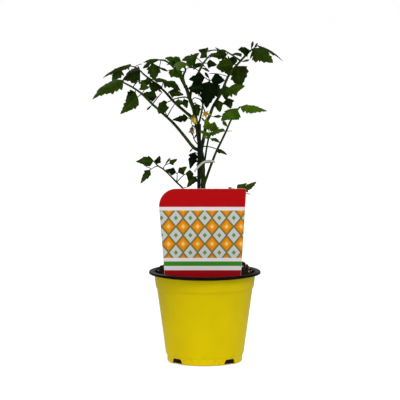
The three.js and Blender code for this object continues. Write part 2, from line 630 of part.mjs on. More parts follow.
// A five-pointed star of pointed lobes as one thin sheet, opened to an angle from its axis.
// Its lobes are widest at a set share of their length, where neighbours just clear each other,
// and meet at short valleys.
function star(middle, axis, length, halfWidth, angle, turn) {
  const along = vec(axis).normalize();
  const centre = vec(middle);
  const points = [[centre, along, PETAL]];
  const put = (out, distance, across = 0) => {
    const round = new THREE.Vector3().crossVectors(along, out).normalize();
    const normal = new THREE.Vector3().crossVectors(out, round).normalize();
    const point = centre.clone().addScaledVector(out, distance).addScaledVector(round, across);
    return points.push([point, normal, PETAL]) - 1;
  };
  const shoulder = 0.4 * length;
  const widest = Math.min(halfWidth, 0.65 * shoulder * Math.sin(degrees(angle)));
  const lobes = spokes(axis, 5, angle, turn).map((out) => ({
    tip: put(out, length),
    right: put(out, shoulder, -widest),
    left: put(out, shoulder, widest),
  }));
  const valleys = spokes(axis, 5, angle, turn + 36).map((out) => put(out, 0.16 * length + 0.5));
  const faces = lobes.flatMap(({ tip, right, left }, i) => {
    const before = valleys[(i + 4) % 5];
    const after = valleys[i];
    return [[0, before, right], [0, right, left], [0, left, after], [right, tip, left]];
  });
  return solidOf(thickened(points, faces));
}

// The yellow part: five pointed petals round a slim cone of anthers.
function petals({ middle, axis, petal, spread }) {
  const along = vec(axis).normalize();
  const thick = 0.5 + 0.05 * petal;
  const start = vec(middle).addScaledVector(along, (0.9 * thick) / Math.tan(degrees(spread)));
  const end = vec(middle).addScaledVector(along, 0.62 * petal);
  return joined([
    star(middle, axis, petal, 0.16 * petal + 0.6, spread, 0),
    stem([start.toArray(), end.toArray()], [thick, 0.5], 5, 1),
  ]);
}

// The green part: the stalk, the small cup behind the petals and its five sepals.
function calyx({ stalk: path, middle, axis, petal, spread }) {
  const along = vec(axis).normalize();
  const cup = vec(middle).addScaledVector(along, -PETAL - CLEARANCE);
  const behind = cup.clone().addScaledVector(along, -1.6);
  return joined([
    stem([...path, behind.toArray(), cup.toArray()], [0.6, 0.7], 5, 6),
    star(cup.toArray(), axis, 0.6 * petal, 1.0, Math.min(115, spread + 28), 36),
  ]);
}

// ---------------------------------------------------------------- pot, soil, cane, tie, label

// Outer radius of the pot's wall at a height: a taper with a stacking step and a foot step.
const POT_OUTSIDE = [
  [0, 44.6], [1.4, POT.footRadius - 0.3], [7.2, POT.footRadius], [POT.footTop, 48.9],
  [POT.stepBottom, 59.3], [91.5, 59.8], [POT.stepTop, 61.3], [106, POT.throatRadius],
];

function potGeometry() {
  const inward = ([z, r]) => [z, r - POT.wall];
  const outside = POT_OUTSIDE;
  const inside = POT_OUTSIDE.slice(2).map(inward).reverse();
  const rim = [
    [110.6, 63.2], [112.4, 64.2], [112.5, 68.3], [POT.lipBottom, 69.2], [POT.lipBottom, POT.rimRadius],
    [113.0, POT.rimRadius], [POT.rimTop, 68.6], [113.4, 66.6], [POT.rimTop, 64.6], [113.2, 62.8],
  ];
  const floor = [[1.2 + POT.wall, POT.footRadius - 1.6], [POT.wall, 44], [POT.wall, 0]];
  const profile = [[0, 0], ...outside, ...rim, ...inside, ...floor];
  return new THREE.LatheGeometry(profile.map(([z, r]) => new THREE.Vector2(r, z)), POT.sides)
    .rotateX(Math.PI / 2);
}

// A drain notch: a low wedge through the corner of wall and base, with sloping sides.
function notchCutter(angle) {
  const { footWidth, topWidth, height } = NOTCH;
  const below = 1;
  const outline = new THREE.Shape([
    new THREE.Vector2(-footWidth / 2, -below), new THREE.Vector2(footWidth / 2, -below),
    new THREE.Vector2(topWidth / 2, height), new THREE.Vector2(-topWidth / 2, height),
  ]);
  const inner = 42.5;
  const cutter = new THREE.ExtrudeGeometry(outline, { depth: 12, bevelEnabled: false });
  // the outline's own axes become across and up, and the cut runs outward from the inner radius
  cutter.rotateX(Math.PI / 2).translate(0, -inner, 0).rotateZ(degrees(angle));
  return solidOf(cutter);
}

function pot() {
  let body = solidOf(potGeometry());
  for (let i = 0; i < NOTCH.count; i += 1) {
    body = body.subtract(notchCutter(NOTCH.firstAngle + (i * 360) / NOTCH.count));
  }
  return mainBody(body);
}

// Radius of the soil at a height: the pot's inside less the clearance.
function soilRadius(z) {
  const k = POT_OUTSIDE.findIndex(([top]) => top >= z);
  const [z0, r0] = POT_OUTSIDE[Math.max(0, k - 1)];
  const [z1, r1] = POT_OUTSIDE[k];
  const outer = r0 + ((r1 - r0) * (z - z0)) / (z1 - z0);
  return outer - POT.wall - CLEARANCE - 0.15;
}

// Height of the soil: a low lumpy dome behind the label, level near the wall and low before it.
function soilHeight(x, y) {
  const share = Math.min(1, Math.hypot(x, y) / SOIL.reach);
  const behind = THREE.MathUtils.smoothstep(y, ...SOIL.rise);
  const full = THREE.MathUtils.lerp(-SOIL.hollow, SOIL.crown - SOIL.edge, behind);
  const dome = SOIL.edge + full * (1 - share ** SOIL.brow);
  const lumps = Math.sin(0.21 * x + 1.3) * Math.cos(0.17 * y - 0.4)
    + 0.6 * Math.sin(0.43 * x - 0.31 * y) + 0.5 * Math.cos(0.37 * x + 0.52 * y + 2);
  return dome + SOIL.lump * lumps * (1 - share ** 6) * (0.3 + 0.7 * behind);
}

function soil(holes) {
  const levels = [7.2, POT.footTop, POT.stepBottom, 91.5, POT.stepTop, 105];
  const rings = [57.5, 52, 44, 35, 25, 14, 0];
  const base = SOIL.floor;
  const profile = [
    [0, base], [soilRadius(7.2) - 1.9, base],
    ...levels.map((z) => [soilRadius(z), z]),
    [soilRadius(105) - 0.2, SOIL.edge - 0.5],
    ...rings.map((r) => [r, SOIL.edge + 1]),
  ];
  const body = new THREE.LatheGeometry(profile.map(([r, z]) => new THREE.Vector2(r, z)), SOIL.sides)
    .rotateX(Math.PI / 2);
  const place = body.attributes.position;
  for (let i = 0; i < place.count; i += 1) {
    if (place.getZ(i) > SOIL.edge) place.setZ(i, soilHeight(place.getX(i), place.getY(i)));
  }
  return mainBody(solidOf(body).subtract(joined(holes)));
}

function stake(extra = 0) {
  return stem([STAKE.foot, STAKE.top], [STAKE.radius, STAKE.radius], 10, 1, extra);
}

// The tie starts at its loose end in front of the cane, goes round everything and tucks in.
function tie() {
  const path = [
    [-13, -11, 239], [-10.2, -10, 243.3], [-7, -9.35, 246.6], [-2, -9.6, 251],
    [4, -10.4, 253.2], [9.2, -10.9, 252.6], [12, -9.7, 252], [11.9, -7.2, 251.5],
    [8, -4.2, 251], [2.5, 0.6, 250.3], [-1, 3.1, 249.8], [-3.5, 3.4, 249.4],
    [-6.5, 1.6, 248.9], [-9.4, -3, 248.2], [-10.3, -6.2, 247.5], [-9.6, -8.2, 247],
  ];
  return band(path, 2.6, 0.7, 32);
}

// The card's outline seen from the front, as X and Z: a big round corner on the left,
// a small one on the right, sides that taper, and a spike that stands in the soil.
function labelShape(grow) {
  const [cornerX, cornerZ] = LABEL.cornerMiddle;
  const big = LABEL.cornerRadius + grow;
  const small = 3;
  const right = 51.5 + grow;
  const top = LABEL.top + grow;
  const shape = new THREE.Shape();
  shape.moveTo(-8 - grow, 58 - grow);
  shape.lineTo(8 + grow, 58 - grow);
  shape.lineTo(12 + grow, 66);
  shape.lineTo(44.2 + grow, 100);
  shape.lineTo(45 + grow, 111);
  shape.lineTo(right, top - small);
  shape.absarc(right - small, top - small, small, 0, Math.PI / 2, false);
  shape.absarc(cornerX, cornerZ, big, Math.PI / 2, Math.PI, false);
  shape.lineTo(-50 - grow, 111);
  shape.lineTo(-48 - grow, 98);
  shape.lineTo(-12 - grow, 66);
  shape.closePath();
  return shape;
}

function label(grow = 0) {
  const depth = LABEL.thickness + 2 * grow;
  const card = new THREE.ExtrudeGeometry(labelShape(grow), {
    depth, bevelEnabled: false, curveSegments: 8,
  });
  const soilLevel = 110;
  card.translate(0, -soilLevel, -depth / 2);
  card.rotateX(Math.PI / 2 - degrees(LABEL.tilt)).translate(0, LABEL.front, soilLevel);
  return solidOf(card);
}

// ---------------------------------------------------------------- the whole plant

const mainStem = (extra = 0) => joined([
  stem(TRUNK.path, TRUNK.radius, 8, 16, extra),
  stem(LEFT_ARM.path, LEFT_ARM.radius, 8, 3, extra),
]);

function leafMeshes() {
  const carriers = { main_stem: mainStem(CLEARANCE) };
  return LEAVES.map((leaf, i) => {
    const seed = 1000 * (i + 1);
    const body = joined([...stalks(leaf), ...leafletsOf(leaf, seed)]);
    const carrier = carriers.main_stem.add(carriers[leaf.from]);
    const cut = mainBody(body.subtract(carrier));
    carriers[leaf.name] = joined(stalks(leaf, CLEARANCE));
    return meshOf(leaf.name, geometryOf(cut), leaf.young ? COLOURS.youngLeaf : COLOURS.leaf);
  });
}

function flowerMeshes() {
  const carrier = mainStem(CLEARANCE);
  return FLOWERS.flatMap((flower) => {
    const green = mainBody(calyx(flower).subtract(carrier));
    return [
      meshOf(`${flower.name}_stalk`, geometryOf(green), COLOURS.stem),
      meshOf(`${flower.name}_petals`, geometryOf(mainBody(petals(flower))), COLOURS.petal),
    ];
  });
}

function tomatoPlant() {
  const plant = new THREE.Group();
  const holes = [mainStem(CLEARANCE), stake(CLEARANCE), label(CLEARANCE)];
  plant.add(meshOf('pot', geometryOf(pot()), COLOURS.potYellow));
  plant.add(meshOf('soil', geometryOf(soil(holes)), COLOURS.soil));
  plant.add(meshOf('stake', geometryOf(stake()), COLOURS.cane));
  plant.add(meshOf('tie', geometryOf(tie()), COLOURS.tie));
  plant.add(meshOf('label', geometryOf(label()), COLOURS.label));
  plant.add(meshOf('main_stem', geometryOf(mainStem()), COLOURS.stem));
  plant.add(...leafMeshes());
  plant.add(...flowerMeshes());
  return plant;
}

export default tomatoPlant();
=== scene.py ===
import bpy
import numpy as np
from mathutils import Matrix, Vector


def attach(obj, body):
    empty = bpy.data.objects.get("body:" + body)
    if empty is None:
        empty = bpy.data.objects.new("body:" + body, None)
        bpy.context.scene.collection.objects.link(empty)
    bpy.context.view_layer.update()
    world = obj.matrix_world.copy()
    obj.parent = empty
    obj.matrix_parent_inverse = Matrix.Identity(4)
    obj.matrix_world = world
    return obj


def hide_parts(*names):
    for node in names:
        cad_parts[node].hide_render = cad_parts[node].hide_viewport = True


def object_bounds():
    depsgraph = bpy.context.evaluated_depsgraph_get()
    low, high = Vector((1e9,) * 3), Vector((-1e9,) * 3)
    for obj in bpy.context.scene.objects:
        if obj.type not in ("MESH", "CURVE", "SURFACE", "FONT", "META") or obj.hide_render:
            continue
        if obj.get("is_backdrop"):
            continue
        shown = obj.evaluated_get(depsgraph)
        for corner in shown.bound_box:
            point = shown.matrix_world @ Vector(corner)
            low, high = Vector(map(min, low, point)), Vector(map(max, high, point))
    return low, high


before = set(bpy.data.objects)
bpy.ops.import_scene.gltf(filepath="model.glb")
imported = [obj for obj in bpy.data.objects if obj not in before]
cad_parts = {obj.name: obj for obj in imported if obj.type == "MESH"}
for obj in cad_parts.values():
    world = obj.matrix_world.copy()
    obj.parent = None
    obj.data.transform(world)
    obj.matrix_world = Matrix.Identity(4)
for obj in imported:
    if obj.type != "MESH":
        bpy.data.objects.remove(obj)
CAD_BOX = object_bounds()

# A young cherry tomato plant in a round two-tone nursery pot, with its cane, tie and printed
# label. The tables are in millimetres; every mesh is made in metres, in the frame's own place.

bl_info = {
    "name": "Potted tomato plant",
    "version": (1, 0, 0),
    "blender": (4, 5, 0),
    "location": "3D View > Sidebar > Tomato",
    "description": "Builds a young tomato plant in its nursery pot, piece by piece",
    "category": "Add Mesh",
}

MM = 0.001

# ---------------------------------------------------------------- layout, in millimetres

# The pot's outside as (height, radius), from its foot to just below the rim.
POT_OUTSIDE = [
    (0, 44.4), (0.25, 45.6), (0.9, 46.5), (2.0, 46.95), (7.2, 47.1), (8.0, 47.35), (10.2, 48.4),
    (11.3, 48.9), (87.1, 59.25), (87.8, 59.4), (91.2, 59.75), (91.9, 60.0), (93.4, 61.0),
    (94.3, 61.35), (96.5, 61.65), (106, 62.8), (109.4, 63.1),
]
# The rim as (height, radius): out along the flange, down the lip, up its outside, and back
# over two beads to the throat.
POT_RIM = [
    (110.8, 63.4), (111.7, 64.0), (112.2, 65.0), (112.4, 67.6), (112.2, 68.6), (111.7, 69.1),
    (111.0, 69.2), (110.8, 69.6), (111.0, 69.95), (111.8, 70.0), (112.8, 69.95), (113.6, 69.5),
    (114.0, 68.7), (113.95, 68.0), (113.5, 67.2), (113.35, 66.5), (113.5, 65.8), (113.95, 65.1),
    (114.0, 64.4), (113.7, 63.6), (112.9, 62.9), (111.2, 62.4), (109.2, 62.1),
]
# The floor inside as (height, radius), inward from the foot of the inner wall.
POT_FLOOR = [(2.2, 45.6), (1.3, 44.9), (1.0, 44.0), (1.0, 20.0)]
POT_WALL = 1.0
POT_INSIDE = (7, 109)  # heights between which the inner wall follows the outside
DRAIN_NOTCHES = (-48, 42, 132, 222)  # degrees round the pot
NOTCH_OUTLINE = [
    (-9.9, -1), (9.9, -1), (9.3, 1.5), (7.2, 6), (6.6, 6.8), (5.6, 7.1), (-5.6, 7.1),
    (-6.6, 6.8), (-7.2, 6), (-9.3, 1.5),
]
NOTCH_REACH = (42.5, 56.0)  # from and to what radius a notch is cut

# The soil: height at the wall and on the heap, size of its lumps, depth of the hollow before
# the label, the Y between which it rises to the heap, and how far out and how sharply it falls.
SOIL = {
    "edge": 111, "crown": 121.5, "lump": 1.4, "hollow": 4, "rise": (-31, -20), "reach": 60,
    "brow": 12,
}
SOIL_ROWS = [1.5, 1.6, 4, 7.2, 11.3, 50, 87.5, 91.5, 94, 100, 106, 110.4]  # ring heights
SOIL_GAP = 1.45  # from the pot's outside to the soil
SOIL_SIDES = 144
LOOSE_REACH = 60.5  # radius over which crumbs and grains lie
STAKE = {"foot": (-8.6, -6.4, 62), "top": (-6.8, -6.4, 298), "radius": 2.2}
# The tie's path: from its loose end across the front, round the right side and the back.
TIE = [
    (-13, -11, 239), (-10.2, -10, 243.3), (-7, -9.35, 246.6), (-2, -9.6, 251),
    (4, -10.4, 253.2), (9.2, -10.9, 252.6), (12, -9.7, 252), (11.9, -7.2, 251.5),
    (8, -4.2, 251), (2.5, 0.6, 250.3), (-1, 3.1, 249.8), (-3.5, 3.4, 249.4),
    (-6.5, 1.6, 248.9), (-9.4, -3, 248.2), (-10.3, -6.2, 247.5), (-9.6, -8.2, 247),
]
TIE_HALF = (0.33, 1.28)  # half thickness and half width of the band
# The label: the Y of its middle at the soil's level, its lean in degrees, its corners' radii,
# and its outline as (X, Z) up to the small corner and down from the big one.
LABEL = {
    "middle": -30, "tilt": 2, "soil_level": 110, "top": 220, "right_edge": 51.5,
    "thickness": 0.8, "bevel": (0.25, 0.2), "corner": 21.5, "corner_middle": (-35.5, 198.5),
    "small_corner": 3,
    "right": [(-7, 58), (7, 58), (8, 59), (12, 66), (43.4, 99.2), (44.3, 101), (45, 111)],
    "left": [(-50, 111), (-48.2, 99.6), (-47.3, 97.4), (-12, 66), (-8, 59)],
}
# The label's print: lower and upper edge of each band.
LABEL_BANDS = {
    "upper": (197, 400), "field": (133.5, 193), "stripe": (123.5, 129.5),
    "lower": (107.8, 118.6), "spike": (40, 107.8),
}
BAND_EDGE = 0.4  # how soft a band's edge is

TRUNK = {
    "radius": (3.4, 2.1),
    "path": [
        (3, 1, 66), (2, 1, 90), (1, 0, 118), (-1, 0, 170), (-2, 0, 218), (-3, 0, 252),
        (-7, 0, 277), (-10, 0, 296), (-13.5, 0, 315), (-18, 0, 328), (-19.5, 0, 333),
    ],
}
LEFT_ARM = {"radius": (2.1, 1.9), "path": [(-19, 0, 330), (-21, 0, 337), (-24, 1, 346)]}
STEM_SKIN = 1.1  # the stem's skin stands this many radii out, over the roots of its hairs

# the shape of every blade
FOLD = 22  # degrees that each half falls from its midrib
DROOP = 0.12  # further fall of the edges, as a share of their distance
NOTCH_DEPTH = 0.28  # how far a notch cuts in towards the midrib
LAST_NOTCH = 0.8  # where the end tooth starts
TOOTH_PEAK = 0.82  # how far along itself a tooth is highest
VEIN_PHASE = 0.72  # how far along itself a tooth has its vein
VEIN_DEPTH, RIB_DEPTH = 0.22, 0.3  # how deep side veins and the midrib are sunk
WIDE_BLADE = 8  # blades wider than this get the finer grid
# thickness in a blade's middle, what its margin loses, and what its midrib adds
BLADE_THICKNESS, MARGIN_LOSS, RIB_EXTRA = 0.42, 0.22, 0.5

# directions that a blade's upper side can face
UP = (0, -0.15, 1)
FRONT = (0, -1, 0.2)
FRONT_UP = (0, -0.75, 0.65)
BACK_UP = (0, 0.5, 0.85)

# Each leaf has the path of its stalk and the stalk's two radii. A leaflet is (place along the
# path, blade base, blade tip, width, teeth a side, face, arch). A branch is a side stalk with
# leaflets of its own.
# A leaf's shade sets how bright its green is, and is partly painted light and shade: leaves seen
# lit are given high values and leaves in shadow low ones.
LEAVES = [
    {"name": "leaf_left_long", "radius": (2, 1.1), "shade": 0.46,
     "path": [
         (-5, 0, 265), (-14, -2, 269), (-25, -6, 283), (-39, -12, 300.1), (-56.9, -26.5, 318),
         (-65.8, -34.5, 326.6), (-77.6, -43, 339.1), (-88.5, -48.5, 347.3), (-99.4, -54, 353.6),
     ],
     "leaflets": [
         (8, (-100.4, -54, 356.6), (-137.9, -68.5, 334.3), 20, 5, (0, -0.6, 0.8), 0.13),
         (6.7, (-85.6, -45, 341.2), (-97.6, -39.5, 330.4), 14, 3, FRONT, 0.08),
         (6, (-82.5, -52, 336), (-103.7, -72, 316.5), 14.5, 4, FRONT, 0.06),
         (6, (-74.7, -39.5, 343.4), (-76.7, -32, 353.5), 13, 2, FRONT, 0.05),
         (4.8, (-66.7, -37, 323.7), (-71.7, -41.5, 319), 5, 1, FRONT_UP, 0.05),
         (3.3, (-49, -15.5, 313.9), (-56.5, -12.5, 326.4), 15, 3, FRONT, 0.06),
         (1, (-15.5, -3, 267.5), (-19, -3, 263.5), 3.5, 1, FRONT, 0),
     ],
     "branches": [
         {"radius": (0.7, 0.5),
          "path": [
              (-88.5, -48.5, 347.3), (-84.6, -43, 353.1), (-78.7, -36, 354.7), (-71.8, -27, 355.2),
          ],
          "leaflets": [
              (3, (-70.8, -25.5, 355.1), (-61.9, -16.5, 354), 6, 1, UP, 0.1),
              (1, (-85.6, -44, 353.6), (-91.5, -45, 356.7), 4, 1, UP, 0.1),
          ]},
         {"radius": (0.7, 0.5),
          "path": [(-64.8, -34.5, 325.6), (-57.9, -24.5, 333.8), (-53, -15.5, 338.8)],
          "leaflets": [
              (1, (-59.9, -27, 334), (-76.7, -36, 338.7), 13, 3, FRONT, 0.05),
              (2, (-53.5, -15, 339.3), (-58, -12.5, 342.3), 5, 1, FRONT, 0.05),
          ]},
         {"radius": (0.7, 0.5),
          "path": [(-47, -17.5, 308.4), (-42, -11, 317.1), (-38, -7, 323)],
          "leaflets": [
              (2, (-37.5, -6.5, 323.5), (-28, -5, 328), 8, 2, FRONT, 0.08),
          ]},
     ]},
    {"name": "leaf_left_upper", "radius": (1.9, 1), "shade": 0.42,
     "path": [
         (-12, 0, 303), (-18, 3, 308), (-25, 6, 313.5), (-39, 12, 325.5), (-51, 20.5, 338.1),
         (-67.2, 35.5, 350.5), (-76.4, 45, 356.8), (-80.4, 48.5, 360.7),
     ],
     "leaflets": [
         (7, (-81.4, 49.5, 361.6), (-103.7, 61, 349.1), 24, 4, FRONT_UP, 0.1),
         (4.6, (-61.1, 22, 348.8), (-65.1, 20.5, 335.2), 17, 3, FRONT, 0.08),
         (5, (-66.2, 29.5, 350.4), (-83.3, 29, 346.6), 8, 2, FRONT, 0.06),
         (5.2, (-64.1, 27, 352), (-45, 16.5, 349.9), 8, 2, FRONT_UP, 0.08),
         (4.2, (-52, 17, 349.8), (-30, 9, 338.5), 16, 3, (0.35, -0.65, 0.65), 0.22),
         (3.6, (-45, 11.5, 337.9), (-26, 7, 334), 11, 2, FRONT, 0.16),
     ],
     "branches": [
         {"radius": (0.8, 0.6),
          "path": [
              (-80.4, 48.5, 360.7), (-87.4, 43, 366.4), (-96.4, 38, 367.7), (-104.4, 32.5, 364.9),
          ],
          "leaflets": [
              (1.6, (-93.4, 38, 370.2), (-127.3, 21.5, 354.5), 13, 4, UP, 0.08),
              (3, (-105.4, 33.5, 364.4), (-116.5, 38, 349.2), 14, 3, FRONT, 0.08),
              (1, (-86.4, 45, 367.8), (-78.4, 47, 370.2), 5, 1, UP, 0.1),
              (2, (-97.5, 47, 366.7), (-112.9, 72, 358.5), 13, 3, BACK_UP, 0.1),
          ]},
     ]},
    {"name": "leaf_fork_left", "radius": (0.9, 0.6), "shade": 0.35,
     "path": [(-19, 0, 329), (-23, 1, 331.5), (-28, 2, 331.5), (-37, 4, 329.5), (-46, 6.5, 325.4)],
     "leaflets": [
         (4, (-47, 6.5, 324.9), (-58.1, 11.5, 321.1), 8, 2, FRONT, 0.08),
         (2.6, (-33, 2.5, 329), (-32, 0, 319.5), 9, 2, FRONT, 0.05),
         (1.6, (-26, 1, 329), (-22, -3, 318), 9, 2, FRONT, 0.05),
     ]},
    {"name": "leaf_top_left", "radius": (1.6, 0.9), "shade": 0.5,
     "path": [
         (-24, 1, 344), (-33, 8, 360), (-41, 16, 370), (-50.1, 31, 375.3), (-58.3, 52.5, 374.9),
     ],
     "leaflets": [
         (4, (-59.3, 54.5, 374.7), (-77.6, 68.5, 370.2), 14, 3, (0, -0.35, 0.9), 0.12),
         (4, (-65.4, 54.5, 370.6), (-63.2, 41, 349.4), 18, 3, FRONT, 0.06),
         (4, (-66.4, 61.5, 372.6), (-78.7, 79, 362.2), 12, 2, FRONT_UP, 0.1),
         (3.6, (-57.2, 41, 365.6), (-46.1, 29.5, 362), 7, 1, FRONT, 0.1),
         (3, (-49.1, 29, 378), (-41, 22, 380.9), 7, 1, UP, 0.1),
         (1.7, (-39, 11.5, 366), (-42, 7, 355.5), 10, 3, FRONT, 0.05),
         (2, (-42, 22, 370.9), (-38.1, 52.5, 370.4), 12, 3, BACK_UP, 0.12),
     ]},
    {"name": "leaf_top_front", "radius": (1.5, 0.9), "young": True, "shade": 0.3,
     "path": [
         (-24, 0.5, 344), (-27, -4, 356), (-26, -9, 361.5), (-24, -15, 366), (-25, -23, 371),
         (-27, -36.5, 374.5),
     ],
     "leaflets": [
         (5, (-27, -38.5, 374.6), (-32.6, -102, 370.9), 19, 4, (0, -0.4, 0.9), 0.12),
         (3.5, (-28, -18, 371.5), (-48.9, -30.5, 383.1), 16, 4, FRONT_UP, 0.12),
         (4, (-23, -23, 373.5), (-7, -34, 389), 16, 3, FRONT_UP, 0.08),
         (3, (-21, -15, 369.5), (-11, -18, 370), 6, 1, FRONT_UP, 0.1),
         (2.6, (-28, -13, 365), (-40, -18, 359), 14, 3, FRONT, 0.08),
         (4.6, (-29, -31.5, 376.3), (-37.9, -37, 384.7), 14, 2, FRONT_UP, 0.06),
     ]},
    {"name": "leaf_top_back", "radius": (1.7, 0.9), "shade": 0.25,
     "path": [
         (-19, 0, 330.5), (-16, 4, 343), (-11, 8, 355.5), (-7, 12, 363.5), (-2, 18, 372.4),
         (3, 28.5, 378.4), (9, 45.5, 383.3),
     ],
     "leaflets": [
         (6, (10, 48, 382.7), (24.2, 77.5, 374.8), 15, 3, BACK_UP, 0.12),
         (4, (-10, 16, 380), (-29, 10, 377), 14, 3, FRONT_UP, 0.14),
         (3, (-14, 9.5, 368), (-22, 7, 371.5), 5, 1, FRONT_UP, 0.05),
         (2.8, (-4, 9, 367.5), (6, 5.5, 362.9), 7, 1, FRONT_UP, 0.2),
         (4.1, (3, 20.5, 372.7), (15.5, 28.5, 370), 10.5, 2, FRONT, 0.04),
         (4.4, (-4, 32, 371.5), (-14.1, 64.5, 361.7), 14, 3, BACK_UP, 0.12),
     ]},
    {"name": "leaf_centre", "radius": (1.3, 0.8), "shade": 0.1,
     "path": [
         (-10, 0, 295), (-7, -3, 301), (-4, -7, 314), (-2, -9, 328), (-1, -10, 338),
         (2, -11.5, 347.1), (6, -13.5, 353.2),
     ],
     "leaflets": [
         (6, (6, -15, 352.2), (2, -18, 319), 22, 4, FRONT, 0.05),
         (6, (0, -13.5, 357.1), (-20, -17, 355), 15, 3, FRONT, 0.12),
         (4.6, (-3, -14, 344), (-21, -16, 344), 17, 3, FRONT, 0.08),
         (6, (8, -13, 354.2), (25, -15, 353.7), 16, 3, FRONT, 0.08),
         (5.4, (11, -11, 347.2), (18, -7.5, 331.2), 15, 3, FRONT, 0.05),
         (6, (5, -14.5, 356.7), (0, -17, 364.1), 7, 1, FRONT, 0.05),
     ]},
    {"name": "shoot_right", "radius": (2.1, 1.3), "shade": 0.6,
     "path": [
         (-5, 2, 265), (-2, 5, 277), (2, 6, 299), (6, 6, 308), (11, 6, 321), (20, 10, 335.7),
         (29, 10.5, 356.5), (37, 9, 367.6), (45, 5.5, 377.2), (52, 3.5, 384.8),
     ],
     "leaflets": [
         (7.2, (40.1, 16, 369.2), (45.1, 23.5, 341.9), 23, 4, FRONT, 0.04),
         (7.4, (35.1, 16, 372.2), (14, 18, 367.5), 24, 4, FRONT, 0.08),
         (8, (47, 7, 375.7), (56.1, 12.5, 377.9), 6, 1, FRONT_UP, 0.05),
         (6, (19, 1.5, 360.4), (5, -3, 361.5), 6, 1, UP, 0.06),
         (5.4, (27, 3.5, 339.8), (50, -7, 346.3), 18, 3, FRONT_UP, 0.06),
         (5.6, (26.5, 18.5, 344.2), (26, 20, 326.7), 14, 2, FRONT, 0.05),
         (4.5, (17, 2, 327.4), (19, -2.5, 313.1), 12, 2, FRONT, 0.04),
         (5, (28.5, 13, 329.5), (32.5, 8, 316.7), 14, 2, FRONT, 0.04),
         (3, (11, 4, 307), (21, 3.5, 307.4), 7, 1, FRONT, 0.1),
         (2, (0, 2.5, 301), (-4, 2, 306), 5, 1, FRONT, 0.05),
     ]},
    {"name": "leaf_arching", "radius": (1.1, 0.7), "shade": 0.45,
     "path": [
         (44.5, 5.5, 376.7), (40.1, 14.5, 379.3), (33.1, 30.5, 383), (26.1, 42.5, 386),
         (15.1, 53.5, 387.2), (5, 63.5, 385.8),
     ],
     "leaflets": [
         (5, (4, 65.5, 385.7), (-8.1, 75, 385.9), 12, 2, FRONT_UP, 0.1),
         (4.6, (2, 54, 384), (-6, 47, 377.2), 9, 2, FRONT, 0.05),
         (3.6, (19.1, 47.5, 387.9), (13, 38, 391.1), 6, 1, FRONT_UP, 0.05),
         (2.6, (28.1, 38, 382.7), (5, 24.5, 381.5), 11, 3, FRONT, 0.08),
         (3, (25.1, 52, 386), (18.2, 88, 378.8), 13, 3, BACK_UP, 0.12),
         (2, (36.2, 39.5, 383.1), (46.3, 65, 377.9), 12, 3, BACK_UP, 0.12),
         (1.6, (37.6, 36, 380.3), (33.2, 43, 365.9), 10, 2, FRONT, 0.06),
     ]},
    {"name": "leaf_top_right", "radius": (1.3, 0.9), "shade": 0.32,
     "path": [(51, 3.5, 383.8), (56, 0, 389), (60, -3.5, 392.2)],
     "leaflets": [
         (2, (60, -4.5, 392.7), (84.3, -25, 376.2), 22, 5, FRONT_UP, 0.08),
         (1, (55, -3.5, 390.7), (40.9, -11, 391.5), 15, 3, FRONT_UP, 0.08),
         (1.6, (58, 3.5, 392.8), (60.1, 9, 401.1), 6, 1, FRONT, 0.05),
         (2, (62, 3.5, 393.8), (66, 7, 399.2), 5, 1, FRONT, 0.05),
         (2, (66.1, 14.5, 395.3), (97.3, 29, 375.1), 13, 4, UP, 0.08),
     ]},
    {"name": "leaf_right_low", "radius": (1.7, 1), "young": True, "shade": 0.6,
     "path": [
         (-3, 0, 216), (2, -3, 231), (9, -8, 251), (14, -11, 264), (21, -17, 279.2),
         (26.9, -28.5, 292.9), (31.9, -39.5, 305.7), (37.8, -48.5, 316.3), (42.8, -52, 323.5),
     ],
     "leaflets": [
         (8, (43.7, -52, 324), (76.4, -65, 319.6), 12.5, 5, FRONT_UP, 0.05),
         (7.6, (39.8, -54, 321.6), (19.8, -74.5, 308.4), 21, 4, (-0.2, -0.7, 0.65), 0.08),
         (5.4, (27.4, -32.5, 298.1), (21.9, -33.5, 305), 8, 1, FRONT, 0.05),
         (5, (28.4, -30, 292), (33.9, -34, 292.9), 3.5, 1, UP, 0),
     ]},
    {"name": "leaf_inner", "radius": (1.4, 0.9), "young": True, "shade": 0.66,
     "path": [
         (-3, 0, 238), (0, -4, 254), (2, -8, 267), (3.5, -12, 276), (5, -18, 283), (7, -27, 289.2),
     ],
     "leaflets": [
         (5, (8, -29, 289.8), (24.8, -64.5, 294.9), 17, 4, FRONT_UP, 0.08),
         (5, (5, -28, 289.2), (-6, -45, 292), 16, 3, FRONT_UP, 0.08),
         (5, (8, -27.5, 291.3), (12, -33.5, 303.7), 14, 3, FRONT, 0.05),
         (4.7, (4.5, -24, 293.1), (1, -28, 307.2), 10, 2, FRONT, 0.06),
         (4, (7.5, -17, 281.5), (19, -26, 276.9), 7, 2, FRONT_UP, 0.18),
         (3.6, (3, -17, 281.5), (-2.5, -18, 285.5), 5, 1, FRONT, 0.05),
     ]},
    {"name": "leaf_narrow_right", "radius": (0.8, 0.6), "shade": 0.5,
     "path": [(-5, -1, 270), (1, -3, 270.5), (8, -3.5, 269.5), (14, -4, 267.5)],
     "leaflets": [
         (3, (15, -4, 267), (28, -7, 260.1), 7, 2, FRONT_UP, 0.08),
     ]},
    {"name": "leaf_narrow_left", "radius": (0.8, 0.6), "shade": 0.3,
     "path": [(-11, 0, 297), (-16, -2, 303), (-20, -2, 306)],
     "leaflets": [
         (2, (-21, -2, 306), (-41, 2, 303), 9, 3, FRONT, 0.05),
     ]},
    {"name": "leaf_left_base", "radius": (1.4, 0.9), "shade": 0.35,
     "path": [
         (-1, 0, 168), (-9, -2.4, 184), (-18, -7, 204), (-27, -10.5, 218.1), (-35, -16, 226.8),
         (-44.9, -24.5, 237.9), (-51.8, -31, 244.9), (-57.8, -36, 249.2), (-62.7, -39.5, 254.9),
     ],
     "leaflets": [
         (8, (-63.7, -40.5, 256), (-85.5, -50.5, 255.9), 12, 3, FRONT, 0.1),
